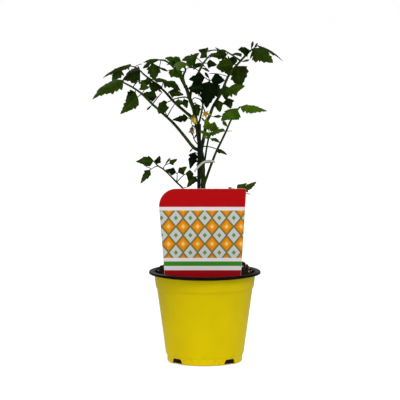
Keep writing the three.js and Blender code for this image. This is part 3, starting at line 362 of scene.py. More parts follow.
         (7.3, (-59.3, -36, 252.2), (-55.8, -30, 261.4), 9, 2, FRONT, 0.05),
         (3, (-26, -9, 219.5), (-19, -8, 221), 4, 1, UP, 0),
     ],
     "branches": [
         {"radius": (0.6, 0.5),
          "path": [(-57.8, -36, 249.2), (-62.7, -38, 247.8), (-66.7, -39.5, 245.4)],
          "leaflets": [
              (2, (-67.7, -40.5, 245), (-79.5, -50.5, 228.4), 9, 3, FRONT, 0.14),
              (2, (-67.7, -38, 246.8), (-73.2, -36, 248.7), 4, 1, UP, 0.05),
          ]},
         {"radius": (0.6, 0.5),
          "path": [(-51.8, -31, 244.9), (-49.4, -28, 249.2), (-44.9, -26, 251)],
          "leaflets": [
              (2, (-43.9, -25.5, 251.4), (-34, -23.5, 256.5), 8, 2, FRONT, 0.05),
              (1, (-48.4, -25, 251), (-42.9, -18.5, 257.6), 5, 1, FRONT, 0.05),
          ]},
         {"radius": (0.7, 0.5),
          "path": [(-35, -16, 226.8), (-34.5, -14.5, 232.3), (-34.5, -13, 237.2)],
          "leaflets": [
              (2, (-36, -13.5, 238.8), (-48.9, -12.5, 242), 9, 2, FRONT, 0.1),
              (2, (-33, -12.5, 238.7), (-22, -13, 246), 10, 2, FRONT, 0.08),
          ]},
         {"radius": (0.6, 0.5),
          "path": [(-35, -16, 226.8), (-28, -15, 234.1), (-19, -14, 240)],
          "leaflets": [
              (2, (-18.5, -14, 242), (-20, -16, 227), 9, 2, FRONT, 0.05),
          ]},
     ]},
    {"name": "leaf_stem_top", "radius": (0.9, 0.7), "shade": 0.2,
     "path": [(-15.5, 0, 321), (-13, -3.5, 324.5), (-11.5, -5, 325)],
     "leaflets": [
         (2, (-11, -5.5, 324), (-8, -6, 308), 10, 3, FRONT, 0.05),
     ]},
    {"name": "leaf_stem_upper", "radius": (0.7, 0.6), "shade": 0.3,
     "path": [(-4, 0, 256), (-8, 3.5, 260), (-12, 5.5, 262)],
     "leaflets": [
         (2, (-13, 6, 262), (-18.5, 5, 241), 12, 3, FRONT, 0.06),
     ]},
    {"name": "leaf_stem_lower", "radius": (0.7, 0.6), "shade": 0.35,
     "path": [(-3, 0, 229), (-7, 3, 232), (-10, 4, 232)],
     "leaflets": [
         (2, (-11, 4, 232), (-22.5, 1, 219), 10, 3, FRONT, 0.08),
     ]},
    {"name": "sprout", "radius": (0.8, 0.6), "shade": 0.3,
     "path": [(-6, 1, 270), (-11, 4, 275), (-13.5, 5, 279), (-14.5, 5, 283)],
     "leaflets": [
         (3, (-14.5, 4.5, 283), (-16.5, 4, 288), 4, 1, FRONT, 0),
         (2, (-13, 4.5, 280), (-10.5, 6, 285), 4, 1, FRONT, 0),
     ]},
    {"name": "leaf_right_base", "radius": (1.4, 0.8), "shade": 0.85,
     "path": [(1, 0, 135), (12, 7, 160), (26, 14.5, 186.8), (38.1, 25, 204.1), (46.2, 32.5, 209.5)],
     "leaflets": [
         (4, (47.7, 33, 210.5), (65.3, 39.5, 222.1), 10, 3, FRONT_UP, 0.06),
         (3.2, (41.1, 30, 211.8), (53.2, 41.5, 220), 10, 2, FRONT, 0.06),
         (4, (49.2, 31.5, 208), (58.7, 30.5, 207), 5, 1, UP, 0.05),
         (3, (35.1, 22, 209.3), (30, 15.5, 217.7), 8, 2, FRONT, 0.06),
     ]},
]

# Each flower hangs on its own stalk. Its petals have a length, open round the axis at the
# given angle, and curl back; skin names their finish.
FLOWERS = [
    {"name": "flower_open", "petal": 7, "spread": 68, "curl": 0.16, "skin": "petal",
     "stalk": [(-17, 0, 327), (-13, -8, 331.5), (-5, -11, 329), (-2, -13, 321), (-0.5, -15, 316)],
     "middle": (0.5, -16.5, 313), "axis": (0.35, -0.8, -0.45)},
    {"name": "flower_hanging", "petal": 12, "spread": 27, "curl": 0.16, "skin": "petal",
     "stalk": [(-13, 0, 313), (-15, -6, 316.5), (-15, -9, 315)],
     "middle": (-14.2, -9.5, 310.5), "axis": (0.05, -0.15, -1)},
    {"name": "flower_faded", "petal": 8, "spread": 30, "curl": 0.02, "skin": "faded",
     "stalk": [(-9.5, 0, 290), (-12.5, -4, 294.5), (-15, -7, 297.2)],
     "middle": (-15.8, -8.2, 294.3), "axis": (-0.1, -0.1, -1)},
]
FLOWER_SIDE = (0.3, 0.2, 1)  # what a flower's first direction across its axis is square to
CONE_RISE = np.array([0, 0.06, 0.2, 0.4, 0.6, 0.75, 0.88, 0.96, 1.0])
CONE_WIDTH = np.array([0.7, 1, 1.08, 1.02, 0.86, 0.66, 0.46, 0.34, 0.2])

# The lights as (name, place, width, power) and the camera, in metres.
LIGHTS = [
    ("key", (0.7, -1.7, 1.9), 0.8, 22), ("fill", (-1.5, -2.1, 0.4), 1.4, 13),
    ("side", (2.0, -1.3, 0.4), 1.4, 7), ("back", (-0.8, 1.9, 1.6), 1.0, 10),
]
LIGHTS_AIM = (0, 0, 0.2)
CAMERA = {"aim": (-0.006, 0.0, 0.2029), "distance": 4.0, "rise": 6.2, "lens": 288.0}

# ---------------------------------------------------------------- curves and surfaces


def unit(v):
    """Vectors divided by their lengths."""
    v = np.asarray(v, float)
    return v / np.maximum(np.linalg.norm(v, axis=-1, keepdims=True), 1e-12)


def draw(n):
    """A repeatable draw from 0 to 1: the fraction left of a large multiple of a sine."""
    s = np.sin(np.asarray(n, float) * 12.9898) * 43758.5453
    return s - np.floor(s)


def egg_shape(t):
    """Half width of a blade at t: the sine of pi times (0.08 + 0.92 t) to the power 0.62."""
    return np.sin(np.pi * (0.08 + 0.92 * t) ** 0.62)


def curve_points(path, places):
    """Catmull-Rom curve: each span is the cubic through its two points whose slopes there are
    half the chord between their neighbours. A place counts the path's points."""
    p = np.asarray(path, float)
    p = np.vstack([2 * p[0] - p[1], p, 2 * p[-1] - p[-2]])
    places = np.clip(places, 0, len(path) - 1 - 1e-9)
    k = places.astype(int)
    t = (places - k)[:, None]
    a, b, c, d = p[k], p[k + 1], p[k + 2], p[k + 3]
    square = 2 * a - 5 * b + 4 * c - d
    return 0.5 * (2 * b + (c - a) * t + square * t**2 + (3 * b - a - 3 * c + d) * t**3)


def along_path(path, step):
    """Points equally far apart on the curve, their directions, and its whole length."""
    fine = np.linspace(0, len(path) - 1, 40 * (len(path) - 1) + 1)
    gaps = np.linalg.norm(np.diff(curve_points(path, fine), axis=0), axis=1)
    run = np.concatenate([[0], np.cumsum(gaps)])
    count = max(7, int(run[-1] / step) + 1)
    centre = curve_points(path, np.interp(np.linspace(0, run[-1], count), run, fine))
    return centre, unit(np.gradient(centre, axis=0)), run[-1]


def across_frames(ahead):
    """Two directions square to each direction ahead, the first of them also square to the
    axis that the path leans on least."""
    steady = np.eye(3)[np.argmin(np.abs(ahead).max(axis=0))]
    side = unit(np.cross(ahead, steady))
    return side, np.cross(ahead, side)


def circle(sides):
    """Equal turns round a circle."""
    return np.linspace(0, 2 * np.pi, sides, endpoint=False)


def spokes(turn, side, up):
    """Directions round a circle: cosine times side plus sine times up."""
    return np.cos(turn)[..., None] * side + np.sin(turn)[..., None] * up


def face_lists(blocks, first=0):
    """Blocks of faces, each an array of rows with as many corners, as one list of faces whose
    point numbers start at the given one."""
    return sum([(block + first).tolist() for block in blocks], [])


def place_object(name, data):
    """A new object in the scene that holds a mesh, a lamp or a camera."""
    made = bpy.data.objects.new(name, data)
    bpy.context.collection.objects.link(made)
    return made


def new_mesh(name, points, faces):
    """A mesh of points in metres and a list of faces."""
    mesh = bpy.data.meshes.new(name)
    mesh.from_pydata(points.tolist(), [], faces)
    return mesh


class Shell:
    """Surfaces gathered into one mesh: points in millimetres, blocks of faces, and three
    values a point."""

    def __init__(self):
        self.points, self.faces, self.slots = [], [], []
        self.values = {"vein": [], "tone": [], "under": []}
        self.count = 0

    def add(self, points, faces, slot=0, vein=0.0, tone=0.5, under=0.0):
        """Takes in a surface. The slot is that of its faces' material; it and the three values
        are one number or an array."""
        points = np.asarray(points, float)
        self.points.append(points)
        faces = face_lists(faces, self.count)
        self.faces.extend(faces)
        self.slots.append(np.broadcast_to(np.asarray(slot, np.int32), (len(faces),)))
        for name, value in (("vein", vein), ("tone", tone), ("under", under)):
            self.values[name].append(np.broadcast_to(value, (len(points),)).astype(np.float32))
        self.count += len(points)

    def make(self, name, materials, record_slot, replaced=(), sharp=50):
        """One object at the origin, riding on the body, in place of the named nodes."""
        mesh = new_mesh(name, np.vstack(self.points) * MM, self.faces)
        for key, parts in self.values.items():
            layer = mesh.attributes.new(key, "FLOAT", "POINT")
            layer.data.foreach_set("value", np.concatenate(parts))
        for material in materials:
            mesh.materials.append(material)
        mesh.polygons.foreach_set("material_index", np.concatenate(self.slots))
        mesh.polygons.foreach_set("use_smooth", np.ones(len(mesh.polygons), bool))
        mesh.set_sharp_from_angle(angle=np.radians(sharp))
        mesh.update()
        piece = place_object(name, mesh)
        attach(piece, "root")
        if replaced:
            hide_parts(*replaced)
        return piece


def ring_faces(rows, sides):
    """Four-cornered faces between closed rings, and a fan to one pole at each end. The points
    are the first pole, the rings in order, and the last pole."""
    i = np.arange(rows - 1)[:, None] * sides + 1
    j = np.arange(sides)[None, :]
    k = (j + 1) % sides
    quads = np.stack([i + j, i + k, i + sides + k, i + sides + j], axis=-1).reshape(-1, 4)
    first, last = 1 + np.arange(sides), 1 + (rows - 1) * sides + np.arange(sides)
    start = np.stack([np.zeros(sides, int), np.roll(first, -1), first], axis=-1)
    end = np.stack([np.full(sides, 1 + rows * sides), last, np.roll(last, -1)], axis=-1)
    return quads, start, end


def rings_closed(rings):
    """The points of closed rings with a pole at the middle of the first and of the last."""
    return np.vstack([rings[0].mean(axis=0), rings.reshape(-1, 3), rings[-1].mean(axis=0)])


def tube(path, radii, sides, seed, step=1.6, wobble=0.04, knuckle=0.0, flare=0.0):
    """A round stem: centre plus radius times (cosine, sine) in the two across directions. The
    radius runs from root to tip, waves a little, swells at a knuckle halfway and at its root,
    and closes over rounded ends."""
    centre, ahead, length = along_path(path, step)
    s = np.linspace(0, 1, len(centre))
    radius = radii[0] + (radii[1] - radii[0]) * s
    radius = radius * (1 + wobble * np.sin(s * length / 5.3 + seed) * np.sin(s * length / 2.1))
    radius = radius * (1 + knuckle * np.exp(-(((s - 0.55) / 0.06) ** 2)))
    radius = radius * (1 + flare * np.exp(-s / 0.04))
    cap = np.array([0.97, 0.8, 0.45])
    rise = np.sqrt(1 - cap**2)
    start = centre[0] - ahead[0] * (cap * radius[0] * 0.6)[:, None]
    end = centre[-1] + ahead[-1] * (cap[::-1] * radius[-1] * 0.6)[:, None]
    centre = np.vstack([start, centre, end])
    ahead = np.vstack([np.repeat(ahead[:1], 3, 0), ahead, np.repeat(ahead[-1:], 3, 0)])
    radius = np.concatenate([rise * radius[0], radius, rise[::-1] * radius[-1]])
    side, up = across_frames(ahead)
    out = spokes(circle(sides)[None], side[:, None], up[:, None])
    rings = centre[:, None] + out * radius[:, None, None]
    return rings_closed(rings), ring_faces(len(centre), sides)


def slab(top, normal, thickness):
    """A sheet with a thickness: the grid of points moved half of it either way along the
    normals, joined round its four edges."""
    rows, columns, _ = top.shape
    half = np.broadcast_to(np.asarray(thickness, float), (rows, columns))[..., None] / 2
    upper, lower = top + normal * half, top - normal * half
    points = np.vstack([upper.reshape(-1, 3), lower.reshape(-1, 3)])
    index = np.arange(rows * columns).reshape(rows, columns)
    a, b, c, d = index[:-1, :-1], index[:-1, 1:], index[1:, 1:], index[1:, :-1]
    face = np.stack([a, b, c, d], axis=-1).reshape(-1, 4)
    under = face[:, ::-1] + rows * columns
    loop = np.concatenate([index[0, :-1], index[:-1, -1], index[-1, :0:-1], index[:0:-1, 0]])
    after = np.roll(loop, -1)
    wall = np.stack([after, loop, loop + rows * columns, after + rows * columns], axis=-1)
    return points, [np.vstack([face, under, wall])]


def lathe(profile, sides):
    """Rings round the Z axis, one for each (height, radius) row."""
    z, r = np.asarray(profile, float).T
    x, y = r[:, None] * np.cos(circle(sides)), r[:, None] * np.sin(circle(sides))
    return np.stack([x, y, np.repeat(z[:, None], sides, 1)], axis=-1)


# ---------------------------------------------------------------- one leaflet


def half_margin(width, teeth, seed, fine):
    """The margin of one half: for each of its rows the place along the blade, the half width,
    the rib's place, how far along its tooth it is, and the tooth's ripple. Each tooth rises
    from its notch like a quarter sine and falls back in a line; small bumps ride on it.
    Notches are deeper near the base, and the end tooth narrows almost in a line to the tip."""
    k, at = np.arange(teeth), np.arange(teeth + 1)
    notch = (at + 0.3 * (draw(seed + 60 + at) - 0.5)) / teeth
    notch[[0, -1]] = 0, 1
    notch = LAST_NOTCH * notch**0.9
    start, end = notch[:-1], notch[1:]
    tip = start + (end - start) * 1.02
    full = 0.5 * width * (0.95 + 0.34 * draw(seed + k))
    tooth = full * egg_shape(tip * 0.9)
    depth = NOTCH_DEPTH * (0.2 + 1.2 * draw(seed + 90 + k)) * (1.35 - end / LAST_NOTCH)
    after = full * egg_shape(end) * (1 - depth)
    before = np.concatenate([[0.5 + 0.012 * width], after[:-1]])
    rise = np.linspace(0, 1, fine, endpoint=False)
    fall = np.array([0.0, 0.35, 0.7, 0.9])
    bumps = 0.02 * np.abs(np.sin(1.5 * np.pi * rise)) * rise**0.5
    peak = start + (end - start) * TOOTH_PEAK
    up_t = start[:, None] + (peak - start)[:, None] * rise
    up_w = before[:, None] + (tooth - before)[:, None] * np.sin(0.5 * np.pi * rise)
    up_w = up_w + bumps * full[:, None]
    down_t = peak[:, None] + (end - peak)[:, None] * fall
    down_w = tooth[:, None] + (after - tooth)[:, None] * fall
    place = np.concatenate([up_t, down_t], axis=1).ravel()
    half = np.concatenate([up_w, down_w], axis=1).ravel()
    phase = np.concatenate([0.8 * rise, 0.8 + 0.2 * fall])
    rib = (start[:, None] + (end - start)[:, None] * phase).ravel()
    last = np.linspace(0, 1, fine + 2)
    place = np.concatenate([place, LAST_NOTCH + (1 - LAST_NOTCH) * last])
    narrowing = after[-1] * (1 - last) ** 0.95 + 0.04
    half = np.concatenate([half, narrowing + 0.05 * full[-1] * np.sin(np.pi * last) ** 2])
    rib = np.concatenate([rib, LAST_NOTCH + (0.997 - LAST_NOTCH) * last])
    phase = np.concatenate([np.tile(phase, teeth), 0.22 + 0.1 * last])
    ripple = 0.26 * tooth * (draw(seed + 7 * (2 * k + 1)) - 0.5)
    ripple = np.concatenate([np.repeat(ripple, len(rise) + len(fall)), np.zeros(fine + 2)])
    return place, half, rib * (1 - 0.2 * np.sin(np.pi * rib)), phase, ripple


def leaflet(shell, root, base, tip, width, teeth, face, arch, seed, tone):
    """A short stalk and a blade. The midrib is a quadratic arc from base to tip. A blade point
    is the midrib's point, plus a step across, less a fall that grows with the step, with the
    veins sunk as narrow grooves and the skin between them raised like half sines."""
    base, tip = np.asarray(base, float), np.asarray(tip, float)
    ahead = unit(tip - base)
    length = np.linalg.norm(tip - base)
    upper = np.asarray(face, float)
    upper = unit(upper - (upper @ ahead) * ahead)
    crown = (base + tip) / 2 + upper * 2 * arch * length
    side = np.cross(ahead, upper)

    big = width > WIDE_BLADE
    fine = 11 if big else 6
    middle = (0.05, 0.13, 0.26, 0.42, 0.58, 0.74, 0.88) if big else (0.2, 0.6)
    share = np.array([0, *middle, 1])
    grids = []
    for hand in (-1, 1):
        place, half, rib, phase, ripple = half_margin(width, teeth, seed + 25 - 25 * hand, fine)
        t = rib[:, None] + (place - rib)[:, None] * share**1.25
        across = half[:, None] * share
        groove = np.exp(-((across / 0.7) ** 2))
        past = phase - VEIN_PHASE
        side_vein = np.exp(-((past / 0.07) ** 2))[:, None] * (1 - share) ** 0.4
        between = np.sin(np.pi * (past % 1.0))[:, None] * np.sin(np.pi * share)
        relief = 0.02 * width * between - VEIN_DEPTH * side_vein - RIB_DEPTH * groove
        drop = across * np.tan(np.radians(FOLD)) + DROOP * across**2 / width
        drop = drop + ripple[:, None] * share**1.5 - relief
        vein = np.maximum(side_vein * (share > 0.02), groove)
        grids.append([x[:, ::hand] for x in (t, hand * across, drop, vein)])
    t, across, drop, vein = [np.concatenate([a[:, :-1], b], axis=1) for a, b in zip(*grids)]

    t3 = t[..., None]
    centre = (1 - t3) ** 2 * base + 2 * t3 * (1 - t3) * crown + t3**2 * tip
    tangent = unit(2 * (1 - t3) * (crown - base) + 2 * t3 * (tip - crown))
    normal = np.cross(side, tangent)
    points = centre + across[..., None] * side - drop[..., None] * normal
    margin = np.abs(across) / np.maximum(np.abs(across).max(axis=1, keepdims=True), 1e-6)
    thickness = BLADE_THICKNESS - MARGIN_LOSS * margin**2
    thickness = thickness + RIB_EXTRA * np.exp(-((across / 0.45) ** 2)) * (1 - 0.8 * t)
    shade = tone + 0.12 * (t.ravel() - 0.5)
    shell.add(
        *slab(points, normal, thickness), vein=np.tile(vein.ravel(), 2), tone=np.tile(shade, 2),
        under=np.repeat([0.0, 1.0], t.size),
    )
    into = base + 0.5 * (unit(crown - base)) * min(2.0, 0.12 * length)
    neck = [root, root + 0.5 * (base - root), base, into]
    stalk = 0.42 + 0.012 * width
    shell.add(*tube(neck, (stalk * 1.15, stalk * 0.8), sides=7, step=1.2, seed=seed), slot=1)


def compound_leaf(shell, leaf, seed, shade):
    """A stalk, its leaflets, and its branches with theirs, all near the leaf's shade: its own green
    with painted light and shade in it.
    """
    path, (root, end) = leaf["path"], leaf["radius"]
    shell.add(*tube(path, (1.06 * root, end), sides=12, seed=seed, flare=0.25), slot=1)
    for i, (place, *blade) in enumerate(leaf["leaflets"]):
        where = curve_points(path, np.array([float(place)]))[0]
        # painted light and shade: each leaflet's tone starts from the leaf's shade, high for leaves
        # seen lit and low for leaves in shadow, with a random spread
        tone = shade + 0.5 * (draw(seed + 3 * i + 11) - 0.5)
        leaflet(shell, where, *blade, seed + 10 * i, tone)
    for i, branch in enumerate(leaf.get("branches", [])):
        compound_leaf(shell, branch, seed + 200 * (i + 1), shade)


def hairs(shell, path, radii, seed, spacing, length, slot=1):
    """Fine hairs on a stem: three-sided needles whose roots sit at even draws of place and
    turn, pointing outward and a little up the stem."""
    centre, ahead, run = along_path(path, 1.0)
    side, up = across_frames(ahead)
    count = int(run / spacing)
    rng = np.random.default_rng(seed)
    s, turn = rng.random(count), rng.random(count) * 2 * np.pi
    k = np.minimum((s * (len(centre) - 1)).astype(int), len(centre) - 1)
    out = spokes(turn, side[k], up[k])
    radius = (radii[0] + (radii[1] - radii[0]) * s)[:, None]
    root = centre[k] + out * (radius - 0.15)
    tip = root + (out + 0.35 * ahead[k]) * (length * (0.5 + rng.random(count)))[:, None]
    around = np.cross(out, ahead[k])
    corners = [root + 0.07 * (np.cos(a) * around + np.sin(a) * ahead[k]) for a in (0, 2.1, 4.2)]
    points = np.stack([*corners, tip], axis=1).reshape(-1, 3)
    pattern = np.array([[1, 0, 3], [2, 1, 3], [0, 2, 3], [0, 1, 2]])
    faces = (4 * np.arange(count)[:, None, None] + pattern).reshape(-1, 3)
    shell.add(points, [faces], slot=slot, tone=0.9)


# ---------------------------------------------------------------- pot and soil


def soil_height(x, y):
    """A heap behind the label that falls steeply to the wall, and a hollow before the label:
    one less a high power of the way to the wall, with lumps from three slow waves and fine
    grain from quick ones. The heap rises behind the label as three times a square less twice
    a cube."""
    share = np.minimum(1, np.hypot(x, y) / SOIL["reach"])
    start, full = SOIL["rise"]
    behind = np.clip((y - start) / (full - start), 0, 1)
    behind = behind**2 * (3 - 2 * behind)
    heap = -SOIL["hollow"] + (SOIL["crown"] - SOIL["edge"] + SOIL["hollow"]) * behind
    dome = SOIL["edge"] + heap * (1 - share ** SOIL["brow"])
    lumps = (
        np.sin(0.21 * x + 1.3) * np.cos(0.17 * y - 0.4)
        + 0.6 * np.sin(0.43 * x - 0.31 * y)
        + 0.5 * np.cos(0.37 * x + 0.52 * y + 2)
    )
    grain = np.sin(1.1 * x + 0.7 * y) * np.cos(1.3 * y - 0.5 * x) + np.sin(2.3 * x - 1.9 * y)
    lumps = SOIL["lump"] * lumps * (0.3 + 0.7 * behind)
    return dome + (lumps + 0.35 * grain) * (1 - share**6)


def pebbles(shell, rng, count, sizes, tone, sink=0.25):
    """Small rough lumps: twelve-cornered balls whose corners are pushed in and out, laid on
    the soil at even draws over its disc."""
    gold = (1 + 5**0.5) / 2
    corners = unit(np.array(
        [(0, 1, gold), (0, -1, gold), (0, 1, -gold), (0, -1, -gold), (1, gold, 0), (-1, gold, 0),
         (1, -gold, 0), (-1, -gold, 0), (gold, 0, 1), (gold, 0, -1), (-gold, 0, 1), (-gold, 0, -1)]
    ))
    pattern = np.array([
        (0, 1, 8), (0, 10, 1), (0, 4, 5), (0, 5, 10), (0, 8, 4), (1, 7, 6), (1, 6, 8), (1, 10, 7),
        (2, 9, 3), (2, 3, 11), (2, 4, 9), (2, 5, 4), (2, 11, 5), (3, 6, 7), (3, 9, 6), (3, 7, 11),
        (4, 8, 9), (5, 11, 10), (6, 9, 8), (7, 10, 11),
    ])
    distance = LOOSE_REACH * np.sqrt(rng.random(count))
    angle = 2 * np.pi * rng.random(count)
    x, y = distance * np.cos(angle), distance * np.sin(angle)
    size = sizes[0] + (sizes[1] - sizes[0]) * rng.random(count) ** 2
    stretch = 0.7 + 0.6 * rng.random((count, 1, 3))
    push = 0.75 + 0.45 * rng.random((count, 12, 1))
    spin, _ = np.linalg.qr(rng.normal(size=(count, 3, 3)))
    spin = spin * np.sign(np.linalg.det(spin))[:, None, None]
    local = np.einsum("kij,knj->kni", spin, corners * push * stretch) * size[:, None, None]
    middle = np.stack([x, y, soil_height(x, y) + size * (0.5 - sink)], axis=-1)
    points = (local + middle[:, None]).reshape(-1, 3)
    faces = (12 * np.arange(count)[:, None, None] + pattern).reshape(-1, 3)
    shade = np.repeat(tone[0] + (tone[1] - tone[0]) * rng.random(count), 12)
    shell.add(points, [faces], tone=shade)


def notch_cutter(angle):
    """A low wedge with rounded upper corners, carried outward through the pot's lower edge."""
    outline, reach = np.array(NOTCH_OUTLINE), np.array(NOTCH_REACH)[:, None, None]
    a = np.radians(angle)
    out, along = np.array([np.sin(a), -np.cos(a), 0]), np.array([np.cos(a), np.sin(a), 0])
    lift = np.array([0, 0, 1.0])
    rings = reach * out + outline[None, :, :1] * along + outline[None, :, 1:] * lift
    return rings_closed(rings), ring_faces(2, len(outline))


# ---------------------------------------------------------------- materials


def srgb(r, g, b):
    """A display colour of 0 to 255 as linear red, green, blue and a full alpha."""
    c = np.array([r, g, b]) / 255
    linear = np.where(c <= 0.04045, c / 12.92, ((c + 0.055) / 1.055) ** 2.4)
    return (*linear.tolist(), 1.0)


class Wires:
    """Short calls that add nodes to a tree and link them."""

    def __init__(self, tree):
        self.tree = tree

    def put(self, socket, value):
        """Links another node's output to the socket, or sets the socket to a constant."""
        if isinstance(value, bpy.types.NodeSocket):
            self.tree.links.new(value, socket)
        else:
            socket.default_value = value

    def node(self, kind, values=(), **settings):
        """A new node, with values put into its inputs by their names or numbers."""
        node = self.tree.nodes.new(kind)
        for key, value in settings.items():
            setattr(node, key, value)
        for key, value in dict(values).items():
            self.put(node.inputs[key], value)
        return node

    def math(self, operation, *values, clamp=False):
        node = self.node("ShaderNodeMath", enumerate(values), operation=operation, use_clamp=clamp)
        return node.outputs[0]

    def times(self, a, b):
        return self.math("MULTIPLY", a, b)

    def plus(self, a, b):
        return self.math("ADD", a, b)

    def mix(self, factor, a, b):
        """From one colour to the other as the factor goes from 0 to 1."""
        return self.node("ShaderNodeMix", {0: factor, 6: a, 7: b}, data_type="RGBA").outputs[2]

    def ranged(self, value, low, high, to_low=0.0, to_high=1.0):
        """The range from low to high carried to another, with its ends held."""
        values = (value, low, high, to_low, to_high)
        return self.node("ShaderNodeMapRange", enumerate(values)).outputs[0]

    def noise(self, where, scale, detail, roughness=0.55):
        values = {"Vector": where, "Scale": scale, "Detail": detail, "Roughness": roughness}
        return self.node("ShaderNodeTexNoise", values).outputs["Fac"]

    def split(self, vector):
        return self.node("ShaderNodeSeparateXYZ", {0: vector}).outputs

    def place(self):
        """Places on the object, in metres."""
        return self.node("ShaderNodeTexCoord").outputs["Object"]

    def value(self, name):
        """One of the mesh's own values a point."""
        return self.node("ShaderNodeAttribute", attribute_name=name).outputs["Fac"]

    def group(self, tree, **values):
        return self.node("ShaderNodeGroup", values, node_tree=tree).outputs


class Group(Wires):
    """A node group with named inputs and outputs, each a value, a colour or a vector."""

    kinds = {"value": "NodeSocketFloat", "colour": "NodeSocketColor", "vector": "NodeSocketVector"}

    def __init__(self, name, inputs, outputs):
        super().__init__(bpy.data.node_groups.new(name, "ShaderNodeTree"))
        for way, sockets in (("INPUT", inputs), ("OUTPUT", outputs)):
            for label, kind in sockets.items():
                self.tree.interface.new_socket(label, in_out=way, socket_type=self.kinds[kind])
        self.given = self.node("NodeGroupInput").outputs
        self.ends = self.node("NodeGroupOutput").inputs

    def done(self, **values):
        """Links the outputs, and gives the finished group."""
        for label, value in values.items():
            self.put(self.ends[label], value)
        return self.tree


class Finish(Wires):
    """A material with one Principled shader; constants are set on its sockets."""

    def __init__(self, name, **constants):
        self.material = bpy.data.materials.new(name)
        self.material.use_nodes = True
        super().__init__(self.material.node_tree)
        self.sockets = self.tree.nodes["Principled BSDF"].inputs
        for label, value in constants.items():
            self.sockets[label.replace("_", " ")].default_value = value

    def done(self, colour, roughness, height=None, strength=0.0, distance=0.0):
        """Links the colour, the roughness and a bump of the height, if there is one, and
        gives the finished material."""
        self.put(self.sockets["Base Color"], colour)
        self.put(self.sockets["Roughness"], roughness)
        if height is not None:
            values = {"Height": height, "Strength": strength, "Distance": distance}
            self.put(self.sockets["Normal"], self.node("ShaderNodeBump", values).outputs[0])
        return self.material


def mottle_group():
    """A mask of soft uneven patches over finer ones: two noises, mixed two to one."""
    w = Group("Mottle", {"Where": "vector", "Scale": "value"}, {"Mask": "value"})
    where, scale = w.given["Where"], w.given["Scale"]
    wide, fine = w.noise(where, scale, 2.0), w.noise(where, w.times(scale, 5.0), 3.0)
    both = w.plus(w.times(wide, 0.66), w.times(fine, 0.34))
    return w.done(Mask=w.ranged(both, 0.33, 0.67))


def blade_group(mottle):
    """A leaf's colour and relief. Dark to bright green by the blade's tone, which carries painted
    light and shade from its leaf's shade value, and by soft patches; pale along the veins, a green
    of its own beneath that shows less on darker blades, and a net of tiny cells."""
    w = Group(
        "Leaf blade", dict.fromkeys(("Dark", "Bright", "Vein", "Beneath"), "colour"),
        {"Colour": "colour", "Roughness": "value", "Height": "value"},
    )
    where = w.place()
    patch = w.group(mottle, Where=where, Scale=70.0)["Mask"]
    tone = w.math("MULTIPLY_ADD", w.value("tone"), 0.95, w.times(patch, 0.4))
    tone = w.math("SUBTRACT", tone, 0.28, clamp=True)
    base = w.mix(tone, w.given["Dark"], w.given["Bright"])
    cells = w.node(
        "ShaderNodeTexVoronoi", {"Vector": where, "Scale": 620.0}, feature="DISTANCE_TO_EDGE"
    )
    net = w.ranged(cells.outputs["Distance"], 0.0, 0.09, 1.0, 0.0)
    lines = w.math("MAXIMUM", w.value("vein"), w.times(net, 0.22))
    base = w.mix(w.times(lines, w.ranged(tone, 0.0, 1.0, 0.02, 0.3)), base, w.given["Vein"])
    beneath = w.times(w.value("under"), w.ranged(tone, 0.0, 1.0, 0.12, 0.7))
    return w.done(
        Colour=w.mix(beneath, base, w.given["Beneath"]),
        Roughness=w.ranged(patch, 0.0, 1.0, 0.48, 0.64),
        Height=w.math("MULTIPLY_ADD", w.noise(where, 1800.0, 2.0), 0.35, w.times(net, -0.6)),
    )


def leaf_material(name, blade, dark, bright, c):
    """One of the two greens of the leaves."""
    w = Finish(name, Specular_IOR_Level=0.03)
    outs = w.group(blade, Dark=dark, Bright=bright, Vein=c.leaf_vein, Beneath=c.leaf_beneath)
    return w.done(outs["Colour"], outs["Roughness"], outs["Height"], 0.5, 0.0002)


def stem_material(mottle, low, high, purple):
    """Green stem: lengthwise streaks and patches between two greens, a purple blush on the
    lowest part, pale hairs, and fine ridges."""
    w = Finish("stem_green", Specular_IOR_Level=0.07)
    where = w.place()
    x, y, z = w.split(where)
    stretched = w.node("ShaderNodeCombineXYZ", {0: x, 1: y, 2: w.times(z, 0.12)}).outputs[0]
    streak = w.noise(stretched, 900.0, 2.0)
    patch = w.group(mottle, Where=where, Scale=55.0)["Mask"]
    tone = w.plus(w.times(streak, 0.6), w.times(patch, 0.4))
    base = w.mix(w.ranged(tone, 0.3, 0.75), low, high)
    blush = w.times(w.ranged(z, 0.2, 0.11), w.ranged(patch, 0.2, 0.9))
    base = w.mix(w.times(blush, 0.35), base, purple)
    base = w.mix(w.ranged(w.value("tone"), 0.8, 0.9, 0.0, 0.6), base, srgb(200, 210, 170))
    return w.done(base, w.ranged(patch, 0.0, 1.0, 0.48, 0.66), streak, 0.4, 0.0003)


def formed_group():
    """Thin formed plastic: faint rings along the height, a fine orange-peel relief, patches
    of dust, small dull scuffs, and a broad shade."""
    names = ("Height", "Dust", "Scuff", "Shade")
    w = Group("Formed plastic", {"Where": "vector"}, dict.fromkeys(names, "value"))
    where = w.given["Where"]
    level = {"W": w.split(where)[2], "Scale": 700.0}
    rings = w.node("ShaderNodeTexNoise", level, noise_dimensions="1D").outputs["Fac"]
    peel = w.noise(where, 900.0, 2.0)
    return w.done(
        Height=w.plus(w.times(rings, 0.4), w.times(peel, 0.6)),
        Dust=w.ranged(w.noise(where, 130.0, 4.0), 0.56, 0.78),
        Scuff=w.ranged(w.noise(where, 420.0, 5.0, 0.7), 0.6, 0.72),
        Shade=w.noise(where, 14.0, 2.0),
    )


